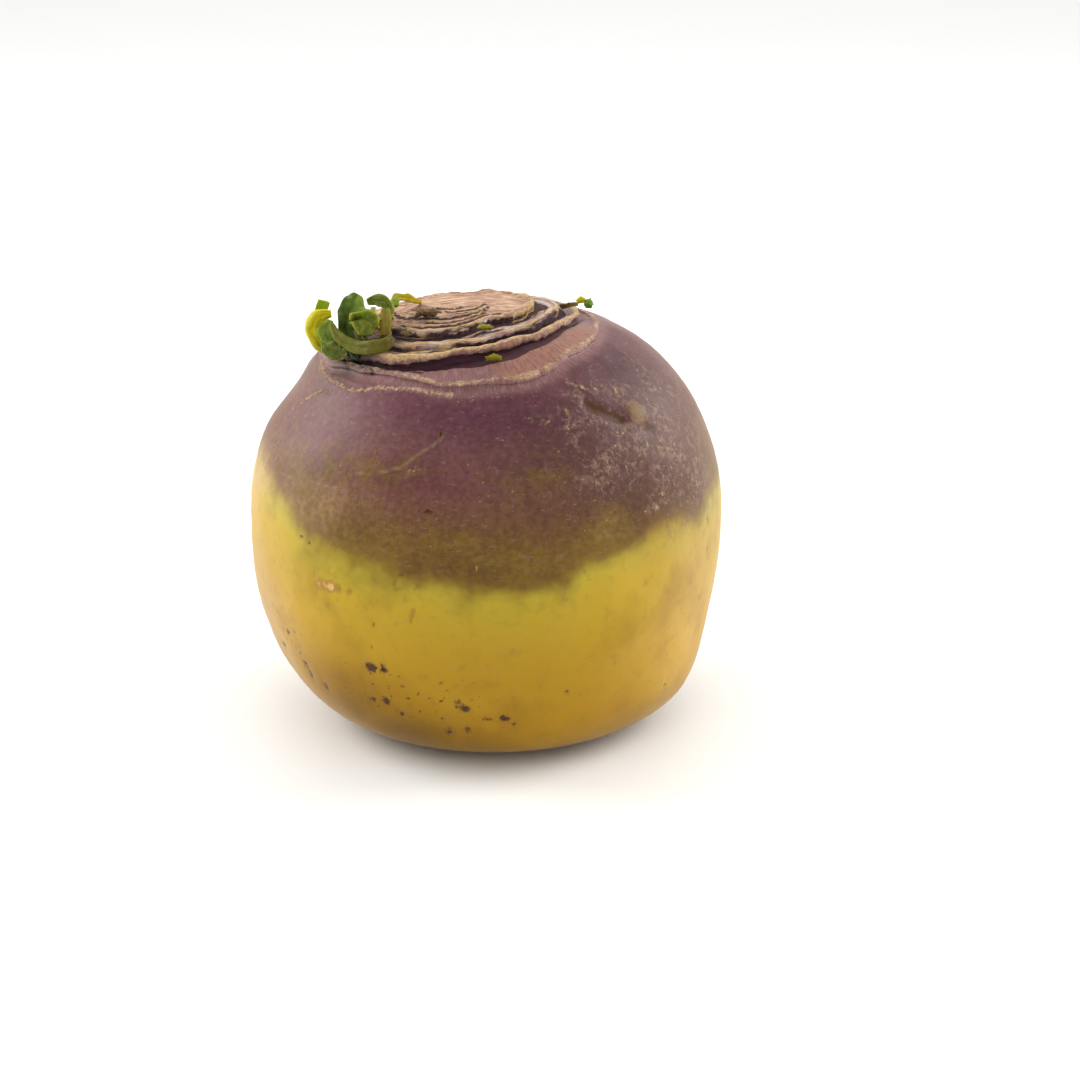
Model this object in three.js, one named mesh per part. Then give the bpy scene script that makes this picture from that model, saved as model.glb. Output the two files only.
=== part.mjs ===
// A rutabaga: one swollen root with a stepped crown of old leaf scars, and the new leaves on it.
// Millimetres, +Z up. The origin is the centre of the flat spot that the root rests on, and the
// front, where the tuft of new leaves leans out over the shoulder, faces -Y.

import * as THREE from 'three';

// The body's outline is two superellipses that meet at the widest ring. The lower one starts at the
// edge of the flat spot, and its two powers set how flat the heel is and how full the flank is.
const WIDEST_RADIUS = 62.3;
const WIDEST_HEIGHT = 51.5;
const DOME_HEIGHT = 110;
const SHOULDER_FULLNESS = 2.26;
const FLAT_SPOT_RADIUS = 12;
const HEEL_FLATNESS = 4;
const FLANK_FULLNESS = 2.2;
const FRONT_FLATTENING = 0.012;
const THREE_LOBED_SWELL = 0.008;
const TWISTED_SWELL = 0.006;

// The dome's highest point stands a little to the front left of the root's axis. The shift is whole
// inside one radius and fades to nothing at another. The crown of scars is centred further left.
const TOP_SHIFT = new THREE.Vector2(-2.5, -3);
const FULL_SHIFT_RADIUS = 15;
const NO_SHIFT_RADIUS = 40;
const CROWN_CENTRE = new THREE.Vector2(-8, -1);
const SHOULDER_RADIUS = 52;

// Two places where the root is out of round. The heel bulges towards the front right, all around
// the flat spot, and the left shoulder is pulled in.
const HEEL_BULGE = new THREE.Vector2(3, -5);
const FULL_BULGE_RADIUS = 45;
const FULL_BULGE_HEIGHT = 2;
const NO_BULGE_HEIGHT = 30;
const LEFT_SHOULDER_PULL = 2.6;
const LEFT_SHOULDER_HEIGHT = 87.2;
const LEFT_SHOULDER_SPREAD = 7.3;

// Each terrace of the crown is one round of old leaf bases. Its edge is a low riser with a lip.
const LIP_REACH = 0.6;
const LIP_ROUNDING = 0.5;
const FOOT_REACH = 0.9;
const UNDERCUT_REACH = 0.15;
const FOOT_SHARE = -0.45; // these four shares of a riser's rise are measured from the smooth dome
const UNDERCUT_SHARE = -0.2;
const LIP_FACE_SHARE = 0.35;
const LIP_SHARE = 0.55;
const RIPPLE = 0.35;
const RIGHT_SIDE_FADE = 0.35; // risers are this share lower at the right and higher at the left
const BAND_RADIUS = 34.2;
const BROAD_SCAR_REACH = 7;
const BROAD_SCAR_AZIMUTH = -0.91;
const TERRACES = [ // from the outside in
  { radius: bandRadius, rise: 0.9, ripples: 11 },
  { radius: (azimuth) => 30.8 - 0.6 * Math.cos(2 * azimuth + 2.4), rise: 2.4, ripples: 9 },
  { radius: (azimuth) => 24 + 1.4 * Math.cos(3 * azimuth + 4.9), rise: 1.9, ripples: 8 },
  { radius: (azimuth) => 18.2 + 1.5 * Math.cos(3 * azimuth + 5.2), rise: 2.2, ripples: 7 },
];
const CAP_SINK = 0.7;

const AROUND = 72;
const LOWER_RINGS = 18;
const UPPER_RINGS = 10;
const SHOULDER_RINGS = 4;
const CAP_RINGS = 3;

// The outermost band is narrow on the left and widens into one broad leaf scar at the right front.
function bandRadius(azimuth) {
  const towardsBroadScar = Math.max(0, Math.cos(azimuth - BROAD_SCAR_AZIMUTH));
  return BAND_RADIUS + BROAD_SCAR_REACH * towardsBroadScar ** 2;
}

// The root isn't quite round. None of these swells changes its width along X.
function swell(azimuth) {
  return 1
    - FRONT_FLATTENING * Math.sin(azimuth) ** 2
    + THREE_LOBED_SWELL * Math.sin(3 * azimuth)
    + TWISTED_SWELL * Math.sin(2 * azimuth);
}

// Height of the smooth dome that the scars of the crown step up and down from.
function domeHeight(x, y) {
  const shift = 1 - THREE.MathUtils.smoothstep(Math.hypot(x, y), FULL_SHIFT_RADIUS, NO_SHIFT_RADIUS);
  const fromTopX = x - TOP_SHIFT.x * shift;
  const fromTopY = y - TOP_SHIFT.y * shift;
  const roundRadius = Math.hypot(fromTopX, fromTopY) / swell(Math.atan2(fromTopY, fromTopX));
  const fullness = (Math.min(roundRadius / WIDEST_RADIUS, 1)) ** SHOULDER_FULLNESS;
  const share = (1 - fullness) ** (1 / SHOULDER_FULLNESS);
  return WIDEST_HEIGHT + (DOME_HEIGHT - WIDEST_HEIGHT) * share;
}

function upperRadius(height) {
  const share = (height - WIDEST_HEIGHT) / (DOME_HEIGHT - WIDEST_HEIGHT);
  return WIDEST_RADIUS * (1 - share ** SHOULDER_FULLNESS) ** (1 / SHOULDER_FULLNESS);
}

function ringOf(pointAt) {
  return Array.from({ length: AROUND }, (_, step) => pointAt((2 * Math.PI * step) / AROUND));
}

function bodyRing(radius, height) {
  return ringOf((azimuth) => {
    const x = radius * swell(azimuth) * Math.cos(azimuth);
    const y = radius * swell(azimuth) * Math.sin(azimuth);
    return new THREE.Vector3(x, y, height);
  });
}

// A ring around the crown's own centre, a given rise above or below the smooth dome.
function crownRing(radiusAt, riseAt) {
  return ringOf((azimuth) => {
    const x = CROWN_CENTRE.x + radiusAt(azimuth) * Math.cos(azimuth);
    const y = CROWN_CENTRE.y + radiusAt(azimuth) * Math.sin(azimuth);
    return new THREE.Vector3(x, y, domeHeight(x, y) + riseAt(azimuth));
  });
}

// Rings that ease from the root's own axis to the crown's centre, all on the smooth dome.
function shoulderRing(share) {
  return ringOf((azimuth) => {
    const outer = SHOULDER_RADIUS * swell(azimuth);
    const inner = TERRACES[0].radius(azimuth) + 2 * FOOT_REACH;
    const radius = THREE.MathUtils.lerp(outer, inner, share);
    const x = CROWN_CENTRE.x * share + radius * Math.cos(azimuth);
    const y = CROWN_CENTRE.y * share + radius * Math.sin(azimuth);
    return new THREE.Vector3(x, y, domeHeight(x, y));
  });
}

// One riser, from the foot outside it, in under the lip, over the lip and back to the tread above.
function riserRings(terrace) {
  const edge = (azimuth) => terrace.radius(azimuth) + RIPPLE * Math.sin(terrace.ripples * azimuth);
  const ringAt = (reach, share) => crownRing(
    (azimuth) => edge(azimuth) + reach,
    (azimuth) => share * terrace.rise * (1 - RIGHT_SIDE_FADE * Math.cos(azimuth)));
  return [
    ringAt(FOOT_REACH, FOOT_SHARE),
    ringAt(UNDERCUT_REACH, UNDERCUT_SHARE),
    ringAt(LIP_REACH, LIP_FACE_SHARE),
    ringAt(-LIP_ROUNDING, LIP_SHARE),
  ];
}

// Moves one point of the root's skin sideways to where the heel bulges or the shoulder is pulled in.
function outOfRound({ x, y, z }) {
  const { smoothstep } = THREE.MathUtils;
  const distance = Math.hypot(x, y);
  const bulge = smoothstep(distance, FLAT_SPOT_RADIUS, FULL_BULGE_RADIUS)
    * (1 - smoothstep(z, FULL_BULGE_HEIGHT, NO_BULGE_HEIGHT));
  const spread = Math.exp(-(((z - LEFT_SHOULDER_HEIGHT) / LEFT_SHOULDER_SPREAD) ** 2));
  const pull = LEFT_SHOULDER_PULL * spread * Math.max(0, -x / distance) ** 2;
  return new THREE.Vector3(x + HEEL_BULGE.x * bulge + pull, y + HEEL_BULGE.y * bulge, z);
}

// Joins rings of equal length, in order, into one closed skin with a point at either end.
function closedSkin(rings, firstPoint, lastPoint) {
  const count = rings[0].length;
  const points = [firstPoint, ...rings.flat(), lastPoint];
  const lastRing = 1 + (rings.length - 1) * count;
  const faces = [];
  for (let step = 0; step < count; step += 1) {
    const next = (step + 1) % count;
    faces.push(0, 1 + next, 1 + step);
    faces.push(lastRing + step, lastRing + next, points.length - 1);
  }
  for (let row = 0; row < rings.length - 1; row += 1) {
    const lower = 1 + row * count;
    const upper = lower + count;
    for (let step = 0; step < count; step += 1) {
      const next = (step + 1) % count;
      faces.push(lower + step, lower + next, upper + next);
      faces.push(lower + step, upper + next, upper + step);
    }
  }
  const geometry = new THREE.BufferGeometry().setFromPoints(points);
  geometry.setIndex(faces);
  geometry.computeVertexNormals();
  return geometry;
}

function rootGeometry() {
  const rings = [];
  for (let step = 0; step <= LOWER_RINGS; step += 1) {
    const angle = (Math.PI / 2) * (step / LOWER_RINGS);
    const reach = Math.sin(angle) ** (2 / HEEL_FLATNESS);
    const radius = THREE.MathUtils.lerp(FLAT_SPOT_RADIUS, WIDEST_RADIUS, reach);
    const left = step < LOWER_RINGS ? Math.cos(angle) ** (2 / FLANK_FULLNESS) : 0;
    rings.push(bodyRing(radius, WIDEST_HEIGHT * (1 - left)));
  }
  const shoulderHeight = domeHeight(0, SHOULDER_RADIUS * swell(Math.PI / 2));
  for (let step = 1; step < UPPER_RINGS; step += 1) {
    const height = THREE.MathUtils.lerp(WIDEST_HEIGHT, shoulderHeight, step / UPPER_RINGS);
    rings.push(bodyRing(upperRadius(height), height));
  }
  for (let step = 0; step <= SHOULDER_RINGS; step += 1) {
    rings.push(shoulderRing(step / SHOULDER_RINGS));
  }
  TERRACES.forEach((terrace, index) => {
    rings.push(...riserRings(terrace));
    const inner = TERRACES[index + 1];
    if (inner) {
      const middle = (azimuth) => (terrace.radius(azimuth) + inner.radius(azimuth)) / 2;
      rings.push(crownRing(middle, () => 0));
    }
  });
  const cap = TERRACES[TERRACES.length - 1];
  for (let step = 1; step <= CAP_RINGS; step += 1) {
    const share = 1 - step / (CAP_RINGS + 1);
    rings.push(crownRing(
      (azimuth) => cap.radius(azimuth) * share,
      (azimuth) => LIP_SHARE * cap.rise * (1 - RIGHT_SIDE_FADE * share * Math.cos(azimuth)) - CAP_SINK));
  }
  const top = new THREE.Vector3(
    CROWN_CENTRE.x, CROWN_CENTRE.y,
    domeHeight(CROWN_CENTRE.x, CROWN_CENTRE.y) + LIP_SHARE * cap.rise - CAP_SINK);
  const skin = rings.map((ring) => ring.map(outOfRound));
  return closedSkin(skin, new THREE.Vector3(0, 0, 0), top);
}

// A leaf or a leaf stalk: a lens-shaped section carried along a smooth line. It is curved across
// its width by cup, and its upper face looks along facing.
const SECTION_POINTS = 8;
const STEPS_PER_SPAN = 3;

function leafGeometry({ line, widths, thickness, facing, cup }) {
  const curve = new THREE.CatmullRomCurve3(line.map((point) => new THREE.Vector3(...point)));
  const widthCurve = new THREE.SplineCurve(
    widths.map((width, index) => new THREE.Vector2(index, width)));
  const steps = STEPS_PER_SPAN * (line.length - 1);
  const upperFace = new THREE.Vector3(...facing).normalize();
  const rings = [];
  for (let step = 0; step <= steps; step += 1) {
    const share = step / steps;
    const centre = curve.getPoint(share);
    const along = curve.getTangent(share);
    const up = upperFace.clone().addScaledVector(along, -upperFace.dot(along)).normalize();
    const side = new THREE.Vector3().crossVectors(up, along);
    const halfWidth = widthCurve.getPoint(share).y / 2;
    const ring = [];
    for (let corner = 0; corner < SECTION_POINTS; corner += 1) {
      const angle = (2 * Math.PI * (corner + 0.5)) / SECTION_POINTS;
      const across = Math.cos(angle);
      const raise = (thickness / 2) * Math.sin(angle) + cup * across ** 2;
      ring.push(centre.clone()
        .addScaledVector(side, halfWidth * across)
        .addScaledVector(up, raise));
    }
    rings.push(ring);
  }
  const middle = (ring) => ring
    .reduce((sum, point) => sum.add(point), new THREE.Vector3())
    .divideScalar(ring.length);
  return closedSkin(rings, middle(rings[0]), middle(rings[steps]));
}

// A bud: a small egg that lies on the crown with its long axis turned by heading.
function budGeometry({ length, width, height }) {
  const rings = [];
  const bands = 6;
  const corners = 10;
  for (let band = 1; band < bands; band += 1) {
    const tilt = (Math.PI * band) / bands;
    rings.push(Array.from({ length: corners }, (_, corner) => {
      const turn = (2 * Math.PI * corner) / corners;
      return new THREE.Vector3(
        (length / 2) * Math.sin(tilt) * Math.cos(turn),
        (width / 2) * Math.sin(tilt) * Math.sin(turn),
        (-height / 2) * Math.cos(tilt));
    }));
  }
  return closedSkin(
    rings, new THREE.Vector3(0, 0, -height / 2), new THREE.Vector3(0, 0, height / 2));
}

const COLOURS = {
  purpleSkin: 0x7c5a58,
  brightGreen: 0x889508,
  yellow: 0xb8a010,
  paleGreen: 0x7d8c38,
  darkGreen: 0x415a2a,
  mustard: 0x9a841a,
  olive: 0x7a7528,
  teal: 0x3d5236,
  witheredBrown: 0x6b5236,
  yellowOlive: 0x8a7d18,
};

function namedMesh(name, geometry, colour, roughness) {
  const material = new THREE.MeshStandardMaterial({ color: colour, roughness, metalness: 0 });
  const mesh = new THREE.Mesh(geometry, material);
  mesh.name = name;
  return mesh;
}

const LEAF_ROUGHNESS = 0.45;
const SKIN_ROUGHNESS = 0.55;
const WITHERED_ROUGHNESS = 0.85;

// The tuft at the left front. Every line starts where the leaf leaves the crown.
const TUFT_LEAVES = [
  {
    name: 'left_leaf_tab',
    colour: COLOURS.brightGreen,
    line: [
      [-35.9, -8.5, 103.6], [-38.5, -7.4, 104], [-40.9, -6.6, 105.4], [-42, -6.2, 108.2],
      [-41.3, -6, 111.9],
    ],
    widths: [1.8, 2.4, 2.9, 3.3, 3],
    thickness: 0.9,
    facing: [-0.2, -1, 0.3],
    cup: 0.3,
  },
  {
    name: 'yellow_curled_leaf',
    colour: COLOURS.yellow,
    line: [
      [-37.6, -14.7, 102.1], [-39.5, -13.5, 101.2], [-41.6, -12.2, 101.5], [-43.1, -12, 103.6],
      [-43.9, -11.2, 106], [-42.9, -10.3, 108.1], [-41.1, -9.8, 109.1], [-39.3, -9.6, 109.3],
    ],
    widths: [2, 2.9, 3.5, 3.9, 4.1, 3.7, 3.1, 1.8],
    thickness: 1.6,
    facing: [0, -1, 0.2],
    cup: -0.4,
  },
  {
    name: 'pale_inner_leaf',
    colour: COLOURS.paleGreen,
    line: [
      [-35.4, -15.9, 103.6], [-37.8, -15.7, 103.5], [-39.6, -14.9, 104.3], [-40.3, -14.4, 106.3],
      [-39.3, -13.6, 108.7],
    ],
    widths: [2, 2.9, 3.5, 3.7, 1.8],
    thickness: 1.2,
    facing: [0, -1, 0.1],
    cup: 0.3,
  },
  {
    name: 'tall_leaf_blade',
    colour: COLOURS.darkGreen,
    line: [
      [-34, -14.2, 103.6], [-35.1, -13.2, 105.7], [-35.2, -12.8, 108.2], [-34.4, -12, 110.5],
      [-33.4, -10.8, 112.7], [-32.5, -9.9, 114.5],
    ],
    widths: [2.2, 3.4, 5, 6.2, 6, 2.2],
    thickness: 0.9,
    facing: [0.35, -1, 0.2],
    cup: 0.9,
  },
  {
    name: 'arched_leaf',
    colour: COLOURS.darkGreen,
    line: [
      [-24.1, -11.1, 108.2], [-24.2, -9.6, 109], [-24.4, -8.6, 110.6], [-25.7, -8.4, 112.2],
      [-27.8, -8.2, 112.6], [-30, -8, 112.1],
    ],
    widths: [1.8, 2.1, 2.5, 2.8, 2.7, 1.4],
    thickness: 1.3,
    facing: [0, -1, 0.2],
    cup: 0.1,
  },
  {
    name: 'mustard_leaf_stalk',
    colour: COLOURS.mustard,
    line: [[-24.8, -21.8, 106.5], [-24.8, -19.6, 107.6], [-24.9, -17, 109.3], [-25.2, -14, 110.9]],
    widths: [2.6, 3.2, 3.1, 1.8],
    thickness: 1.7,
    facing: [0, -1, 0.1],
    cup: 0.1,
  },
  {
    name: 'thin_leaf_stalk',
    colour: COLOURS.yellow,
    line: [[-28.6, -13, 106.7], [-28.4, -12.4, 107.9], [-28.4, -11.4, 109.5], [-28.3, -10.6, 111.4]],
    widths: [1.6, 1.9, 2.1, 1.3],
    thickness: 1,
    facing: [0, -1, 0],
    cup: 0,
  },
  {
    name: 'rolled_leaf',
    colour: COLOURS.darkGreen,
    line: [
      [-29.9, -19.4, 104.6], [-30.1, -17.6, 105.5], [-30.3, -16, 107.2], [-30.2, -16, 109.2],
      [-30.1, -17.6, 110.5], [-30, -19.3, 109.7], [-30.1, -20.4, 108], [-30.3, -20.9, 106.4],
    ],
    widths: [2.2, 3.8, 5.8, 7, 7.1, 6.6, 5.4, 2.8],
    thickness: 1,
    facing: [0, 1, 0.6],
    cup: 0,
  },
  {
    name: 'front_leaf_stalk',
    colour: COLOURS.olive,
    line: [
      [-23.1, -24, 106.4], [-24.7, -26, 105.3], [-28, -25.6, 104.4], [-32, -23, 104.1],
      [-35.4, -20.8, 104.9], [-37.5, -18.8, 106.4], [-38.7, -17, 108.2],
    ],
    widths: [2.2, 3.1, 3.3, 3.2, 2.8, 2.3, 1.3],
    thickness: 1.7,
    facing: [0, -1, 0.3],
    cup: 0.1,
  },
  {
    name: 'folded_leaf',
    colour: COLOURS.olive,
    line: [[-34.2, -20.8, 102], [-36.5, -19.4, 101.5], [-39.1, -18.3, 102.3], [-40.9, -16.8, 103.6]],
    widths: [2.4, 3.6, 3.8, 1.8],
    thickness: 1.3,
    facing: [0, -1, 0.3],
    cup: 0.4,
  },
  {
    name: 'hanging_leaf_tip',
    colour: COLOURS.teal,
    line: [[-32.8, -21.4, 102.7], [-32.5, -22.5, 101.8], [-32, -23.4, 100.7]],
    widths: [2, 2.2, 0.8],
    thickness: 0.9,
    facing: [0, -1, 0.6],
    cup: 0,
  },
  {
    name: 'crown_leaf_strip',
    colour: COLOURS.mustard,
    line: [
      [-22.8, -6, 110.4], [-23.1, -4, 111.2], [-22.3, -1.4, 111.6], [-20.6, -1, 111.4],
      [-18.5, -1.6, 111], [-16.4, -3, 110.7],
    ],
    widths: [1.8, 2.4, 2.6, 2.4, 1.9, 0.9],
    thickness: 0.8,
    facing: [0, -0.6, 1],
    cup: 0.2,
  },
];

// What sits alone elsewhere on the crown.
const RIGHT_SPROUT_STEM = {
  name: 'right_sprout_stem',
  colour: COLOURS.witheredBrown,
  line: [[19.6, 2.5, 108.3], [22, 2.7, 108.7], [24.3, 3, 109]],
  widths: [1.2, 0.9, 0.8],
  thickness: 0.8,
  facing: [0, -1, 0],
  cup: 0,
};
const RIGHT_SPROUT_TIP = {
  name: 'right_sprout_tip',
  colour: COLOURS.yellow,
  line: [[25.3, 2.6, 109.3], [25.1, 2.7, 110.2], [25, 2.8, 111]],
  widths: [1, 1.5, 0.5],
  thickness: 0.7,
  facing: [0, -1, 0],
  cup: 0,
};
const BUDS = [
  {
    name: 'right_sprout_bud',
    colour: COLOURS.brightGreen,
    centre: [27.1, 2.2, 109.2],
    size: { length: 2.2, width: 1.8, height: 2.4 },
  },
  {
    name: 'front_bud',
    colour: COLOURS.yellowOlive,
    centre: [2.8, -34.1, 103.9],
    size: { length: 4, width: 1.6, height: 1.7 },
  },
  {
    name: 'terrace_bud',
    colour: COLOURS.yellowOlive,
    centre: [0.5, -24, 109.4],
    size: { length: 3.4, width: 1.5, height: 1.3 },
  },
  {
    name: 'withered_leaf_stub',
    colour: COLOURS.witheredBrown,
    centre: [-14.7, -14, 110.8],
    size: { length: 6, width: 3.4, height: 1.8 },
  },
];

const rutabaga = new THREE.Group();
rutabaga.add(namedMesh('root', rootGeometry(), COLOURS.purpleSkin, SKIN_ROUGHNESS));
for (const leaf of [...TUFT_LEAVES, RIGHT_SPROUT_STEM, RIGHT_SPROUT_TIP]) {
  rutabaga.add(namedMesh(leaf.name, leafGeometry(leaf), leaf.colour, LEAF_ROUGHNESS));
}
for (const bud of BUDS) {
  const mesh = namedMesh(bud.name, budGeometry(bud.size), bud.colour, WITHERED_ROUGHNESS);
  mesh.position.set(...bud.centre);
  rutabaga.add(mesh);
}

export default rutabaga;
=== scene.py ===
# %% [markdown]
# # A rutabaga
# A rutabaga is one swollen root. Its neck carries rounds of old leaf scars, its shoulder went
# purple in the light, its lower half stayed yellow in the soil, and new leaves have begun to grow.
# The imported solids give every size. This file gives each piece its fine surface and its finish.

# %% Load the frame
import math

import bpy
import numpy as np
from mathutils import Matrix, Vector, noise


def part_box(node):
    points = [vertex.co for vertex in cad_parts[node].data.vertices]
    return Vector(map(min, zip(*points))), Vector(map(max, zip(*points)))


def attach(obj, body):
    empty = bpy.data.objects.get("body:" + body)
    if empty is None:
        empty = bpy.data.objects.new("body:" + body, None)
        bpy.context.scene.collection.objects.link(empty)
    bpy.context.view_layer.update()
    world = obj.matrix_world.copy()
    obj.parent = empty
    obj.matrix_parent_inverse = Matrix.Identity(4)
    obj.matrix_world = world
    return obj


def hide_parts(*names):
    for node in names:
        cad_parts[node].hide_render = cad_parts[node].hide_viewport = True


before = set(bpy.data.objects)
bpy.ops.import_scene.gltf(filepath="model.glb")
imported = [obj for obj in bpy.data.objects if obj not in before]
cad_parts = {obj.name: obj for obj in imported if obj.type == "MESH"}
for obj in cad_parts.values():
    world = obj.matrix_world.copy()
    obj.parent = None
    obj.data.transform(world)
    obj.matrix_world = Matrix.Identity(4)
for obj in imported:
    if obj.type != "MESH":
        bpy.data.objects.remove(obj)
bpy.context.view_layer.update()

# %% [markdown]
# ## Millimetres
# A vegetable is easier to think about in millimetres, and Blender works in metres. Every shape
# below is worked out in millimetres, and one function turns it into a mesh in metres.

# %% Units and the root's box
MM = 0.001


def box_mm(node):
    low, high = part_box(node)
    return np.array(low) / MM, np.array(high) / MM


root_low, root_high = box_mm("root")
WIDEST_RADIUS = (root_high[0] - root_low[0]) / 2
print(f"root: {2 * WIDEST_RADIUS:.1f} mm wide, {root_high[2]:.1f} mm tall")

# %% [markdown]
# ## The body's outline
# A lathe would turn a body that is too perfect, and sculpting by hand can't be repeated. So the
# outline is a formula, two superellipses that meet at the widest ring, and small swells around the
# axis take away the machine-made look. The dome's highest point stands a little to the front left
# of the root's axis, the heel bulges to the front right and the left shoulder is pulled in, all as
# on the solid.

# %% The outline's numbers
WIDEST_HEIGHT = 51.5
DOME_HEIGHT = 110.0
SHOULDER_FULLNESS = 2.26
FLAT_SPOT_RADIUS = 12.0
HEEL_FLATNESS = 4.0
FLANK_FULLNESS = 2.2
TOP_SHIFT = (-2.5, -3.0)
FULL_SHIFT_RADIUS, NO_SHIFT_RADIUS = 15.0, 40.0
CROWN_CENTRE = np.array([-8.0, -1.0])
SHOULDER_RADIUS = 52.0
HEEL_BULGE = (3.0, -5.0)
FULL_BULGE_RADIUS = 45.0
FULL_BULGE_HEIGHT, NO_BULGE_HEIGHT = 2.0, 30.0
LEFT_SHOULDER_PULL, LEFT_SHOULDER_HEIGHT, LEFT_SHOULDER_SPREAD = 2.6, 87.2, 7.3


# %% Functions of the outline
def smooth_step(start, end, value):
    t = np.clip((value - start) / (end - start), 0, 1)
    return t * t * (3 - 2 * t)


def swell(azimuth):
    """Share of the round radius at an azimuth. It leaves the width along X as it is."""
    return 1 - 0.012 * np.sin(azimuth) ** 2 + 0.008 * np.sin(3 * azimuth) + 0.006 * np.sin(2 * azimuth)


def dome_height(x, y):
    """Height of the smooth dome that the crown's scars step up and down from."""
    shift = 1 - smooth_step(FULL_SHIFT_RADIUS, NO_SHIFT_RADIUS, np.hypot(x, y))
    from_top_x, from_top_y = x - TOP_SHIFT[0] * shift, y - TOP_SHIFT[1] * shift
    round_radius = np.hypot(from_top_x, from_top_y) / swell(np.arctan2(from_top_y, from_top_x))
    fullness = np.minimum(round_radius / WIDEST_RADIUS, 1) ** SHOULDER_FULLNESS
    return WIDEST_HEIGHT + (DOME_HEIGHT - WIDEST_HEIGHT) * (1 - fullness) ** (1 / SHOULDER_FULLNESS)


def upper_radius(height):
    share = (height - WIDEST_HEIGHT) / (DOME_HEIGHT - WIDEST_HEIGHT)
    return WIDEST_RADIUS * (1 - share ** SHOULDER_FULLNESS) ** (1 / SHOULDER_FULLNESS)


def lower_outline(count):
    """Radius and height of each ring from the flat spot up to the widest ring."""
    angle = np.linspace(0, math.pi / 2, count)
    radius = FLAT_SPOT_RADIUS + (WIDEST_RADIUS - FLAT_SPOT_RADIUS) * np.sin(angle) ** (2 / HEEL_FLATNESS)
    height = WIDEST_HEIGHT * (1 - np.maximum(np.cos(angle), 0) ** (2 / FLANK_FULLNESS))
    return zip(radius, height)


def out_of_round(points):
    """Move points of the skin sideways to where the heel bulges or the shoulder is pulled in."""
    x, y, z = points[..., 0], points[..., 1], points[..., 2]
    distance = np.hypot(x, y)
    bulge = smooth_step(FLAT_SPOT_RADIUS, FULL_BULGE_RADIUS, distance)
    bulge = bulge * (1 - smooth_step(FULL_BULGE_HEIGHT, NO_BULGE_HEIGHT, z))
    spread = np.exp(-((z - LEFT_SHOULDER_HEIGHT) / LEFT_SHOULDER_SPREAD) ** 2)
    pull = LEFT_SHOULDER_PULL * spread * np.maximum(0, -x / distance) ** 2
    return np.stack([x + HEEL_BULGE[0] * bulge + pull, y + HEEL_BULGE[1] * bulge, z], axis=-1)


# %% [markdown]
# ## Terraces of old leaf scars
# Each time a leaf dies it leaves a scar that wraps part of the neck, and the scars pile up as low
# terraces with corky lips. A bump map can't make a lip that throws a shadow, so they are real
# geometry: for every azimuth the section runs in under each lip, over it and back to the tread.
# The two outer lips stand higher on the left, the two inner ones on the right.

# %% The terraces
AROUND = 440
azimuths = 2 * math.pi * np.arange(AROUND) / AROUND


def ripple_noise(azimuth, coarseness, seed):
    """Smooth random wander around the crown, about -1 to 1, that closes on itself."""
    points = zip(np.cos(azimuth) * coarseness, np.sin(azimuth) * coarseness)
    return np.array([noise.noise(Vector((x, y, seed))) for x, y in points]) * 1.6


def all_round(places, degrees, soften=15):
    """A number for each azimuth, eased between a few places given as (azimuth, number)."""
    given, numbers = np.array(places).T
    loop = np.interp(np.arange(-180, 180), given, numbers, period=360)
    kernel = np.hanning(soften)
    loop = np.convolve(np.tile(loop, 3), kernel / kernel.sum(), mode="same")[360:720]
    return np.interp(degrees, np.arange(-180, 181), np.append(loop, loop[0]))


EDGES = [  # from the outside in, the radius of each lip in mm at a few azimuths around the crown
    [(-150, 34.0), (-133, 33.8), (-118, 34.6), (-104, 36.4), (-93, 38.7), (-75, 40.7), (-66, 41.8),
     (-58, 41.2), (-46, 39.8), (-31, 38.5), (-10, 38.2), (15, 36.5), (45, 34.8), (120, 34.2)],
    [(-150, 31.2), (-117, 31.6), (-94, 31.2), (-78, 30.6), (-61, 30.6), (-38, 29.7), (-21, 29.8),
     (3, 32.4), (30, 31.6), (90, 30.8), (150, 30.6)],
    [(-160, 24.8), (-125, 26.0), (-108, 27.0), (-92, 27.6), (-75, 27.5), (-60, 27.3), (-50, 27.0),
     (-36, 26.0), (-13, 26.2), (7, 27.6), (35, 27.0), (80, 25.0), (140, 24.4)],
    [(-170, 18.6), (-150, 19.4), (-128, 21.4), (-114, 22.2), (-98, 22.6), (-85, 22.3), (-73, 20.8),
     (-60, 19.2), (-38, 18.8), (-13, 19.5), (10, 21.0), (40, 20.2), (90, 18.4), (140, 18.0)],
]
# the rise of each in mm, the share of it lost towards the right, and its ripples around
RISES = [(0.9, 0.35, 11), (2.1, 0.35, 9), (1.5, -0.3, 8), (1.9, -0.45, 7)]
RIPPLE = 0.3
LIP_SHARE = 0.55
CAP_SINK = 0.7
NARROWEST_TREAD = 1.1


def edge_radius(index, azimuth):
    degrees = np.degrees((azimuth + math.pi) % (2 * math.pi) - math.pi)
    ragged = 0.45 * ripple_noise(azimuth, 5, index + 3) + 0.14 * ripple_noise(azimuth, 19, index + 9)
    return all_round(EDGES[index], degrees) + RIPPLE * np.sin(RISES[index][2] * azimuth) + ragged


def rise_at(index, azimuth):
    rise, fade, _ = RISES[index]
    uneven = 1 + 0.28 * ripple_noise(azimuth, 3, index + 21) + 0.12 * ripple_noise(azimuth, 12, index + 33)
    return rise * (1 - fade * np.cos(azimuth)) * uneven


edges = [edge_radius(index, azimuths) for index in range(len(EDGES))]
rises = [rise_at(index, azimuths) for index in range(len(EDGES))]
print("terrace radii, mm:", [round(float(edge.mean()), 1) for edge in edges])

# %% [markdown]
# ## Rings of the root
# The root's mesh is a stack of rings, from the flat spot up to the middle of the crown. Rings are
# cheap to shape one by one and give an even grid of quads, which takes displacement well. Most of
# them go to the crown, where the detail is.

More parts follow.
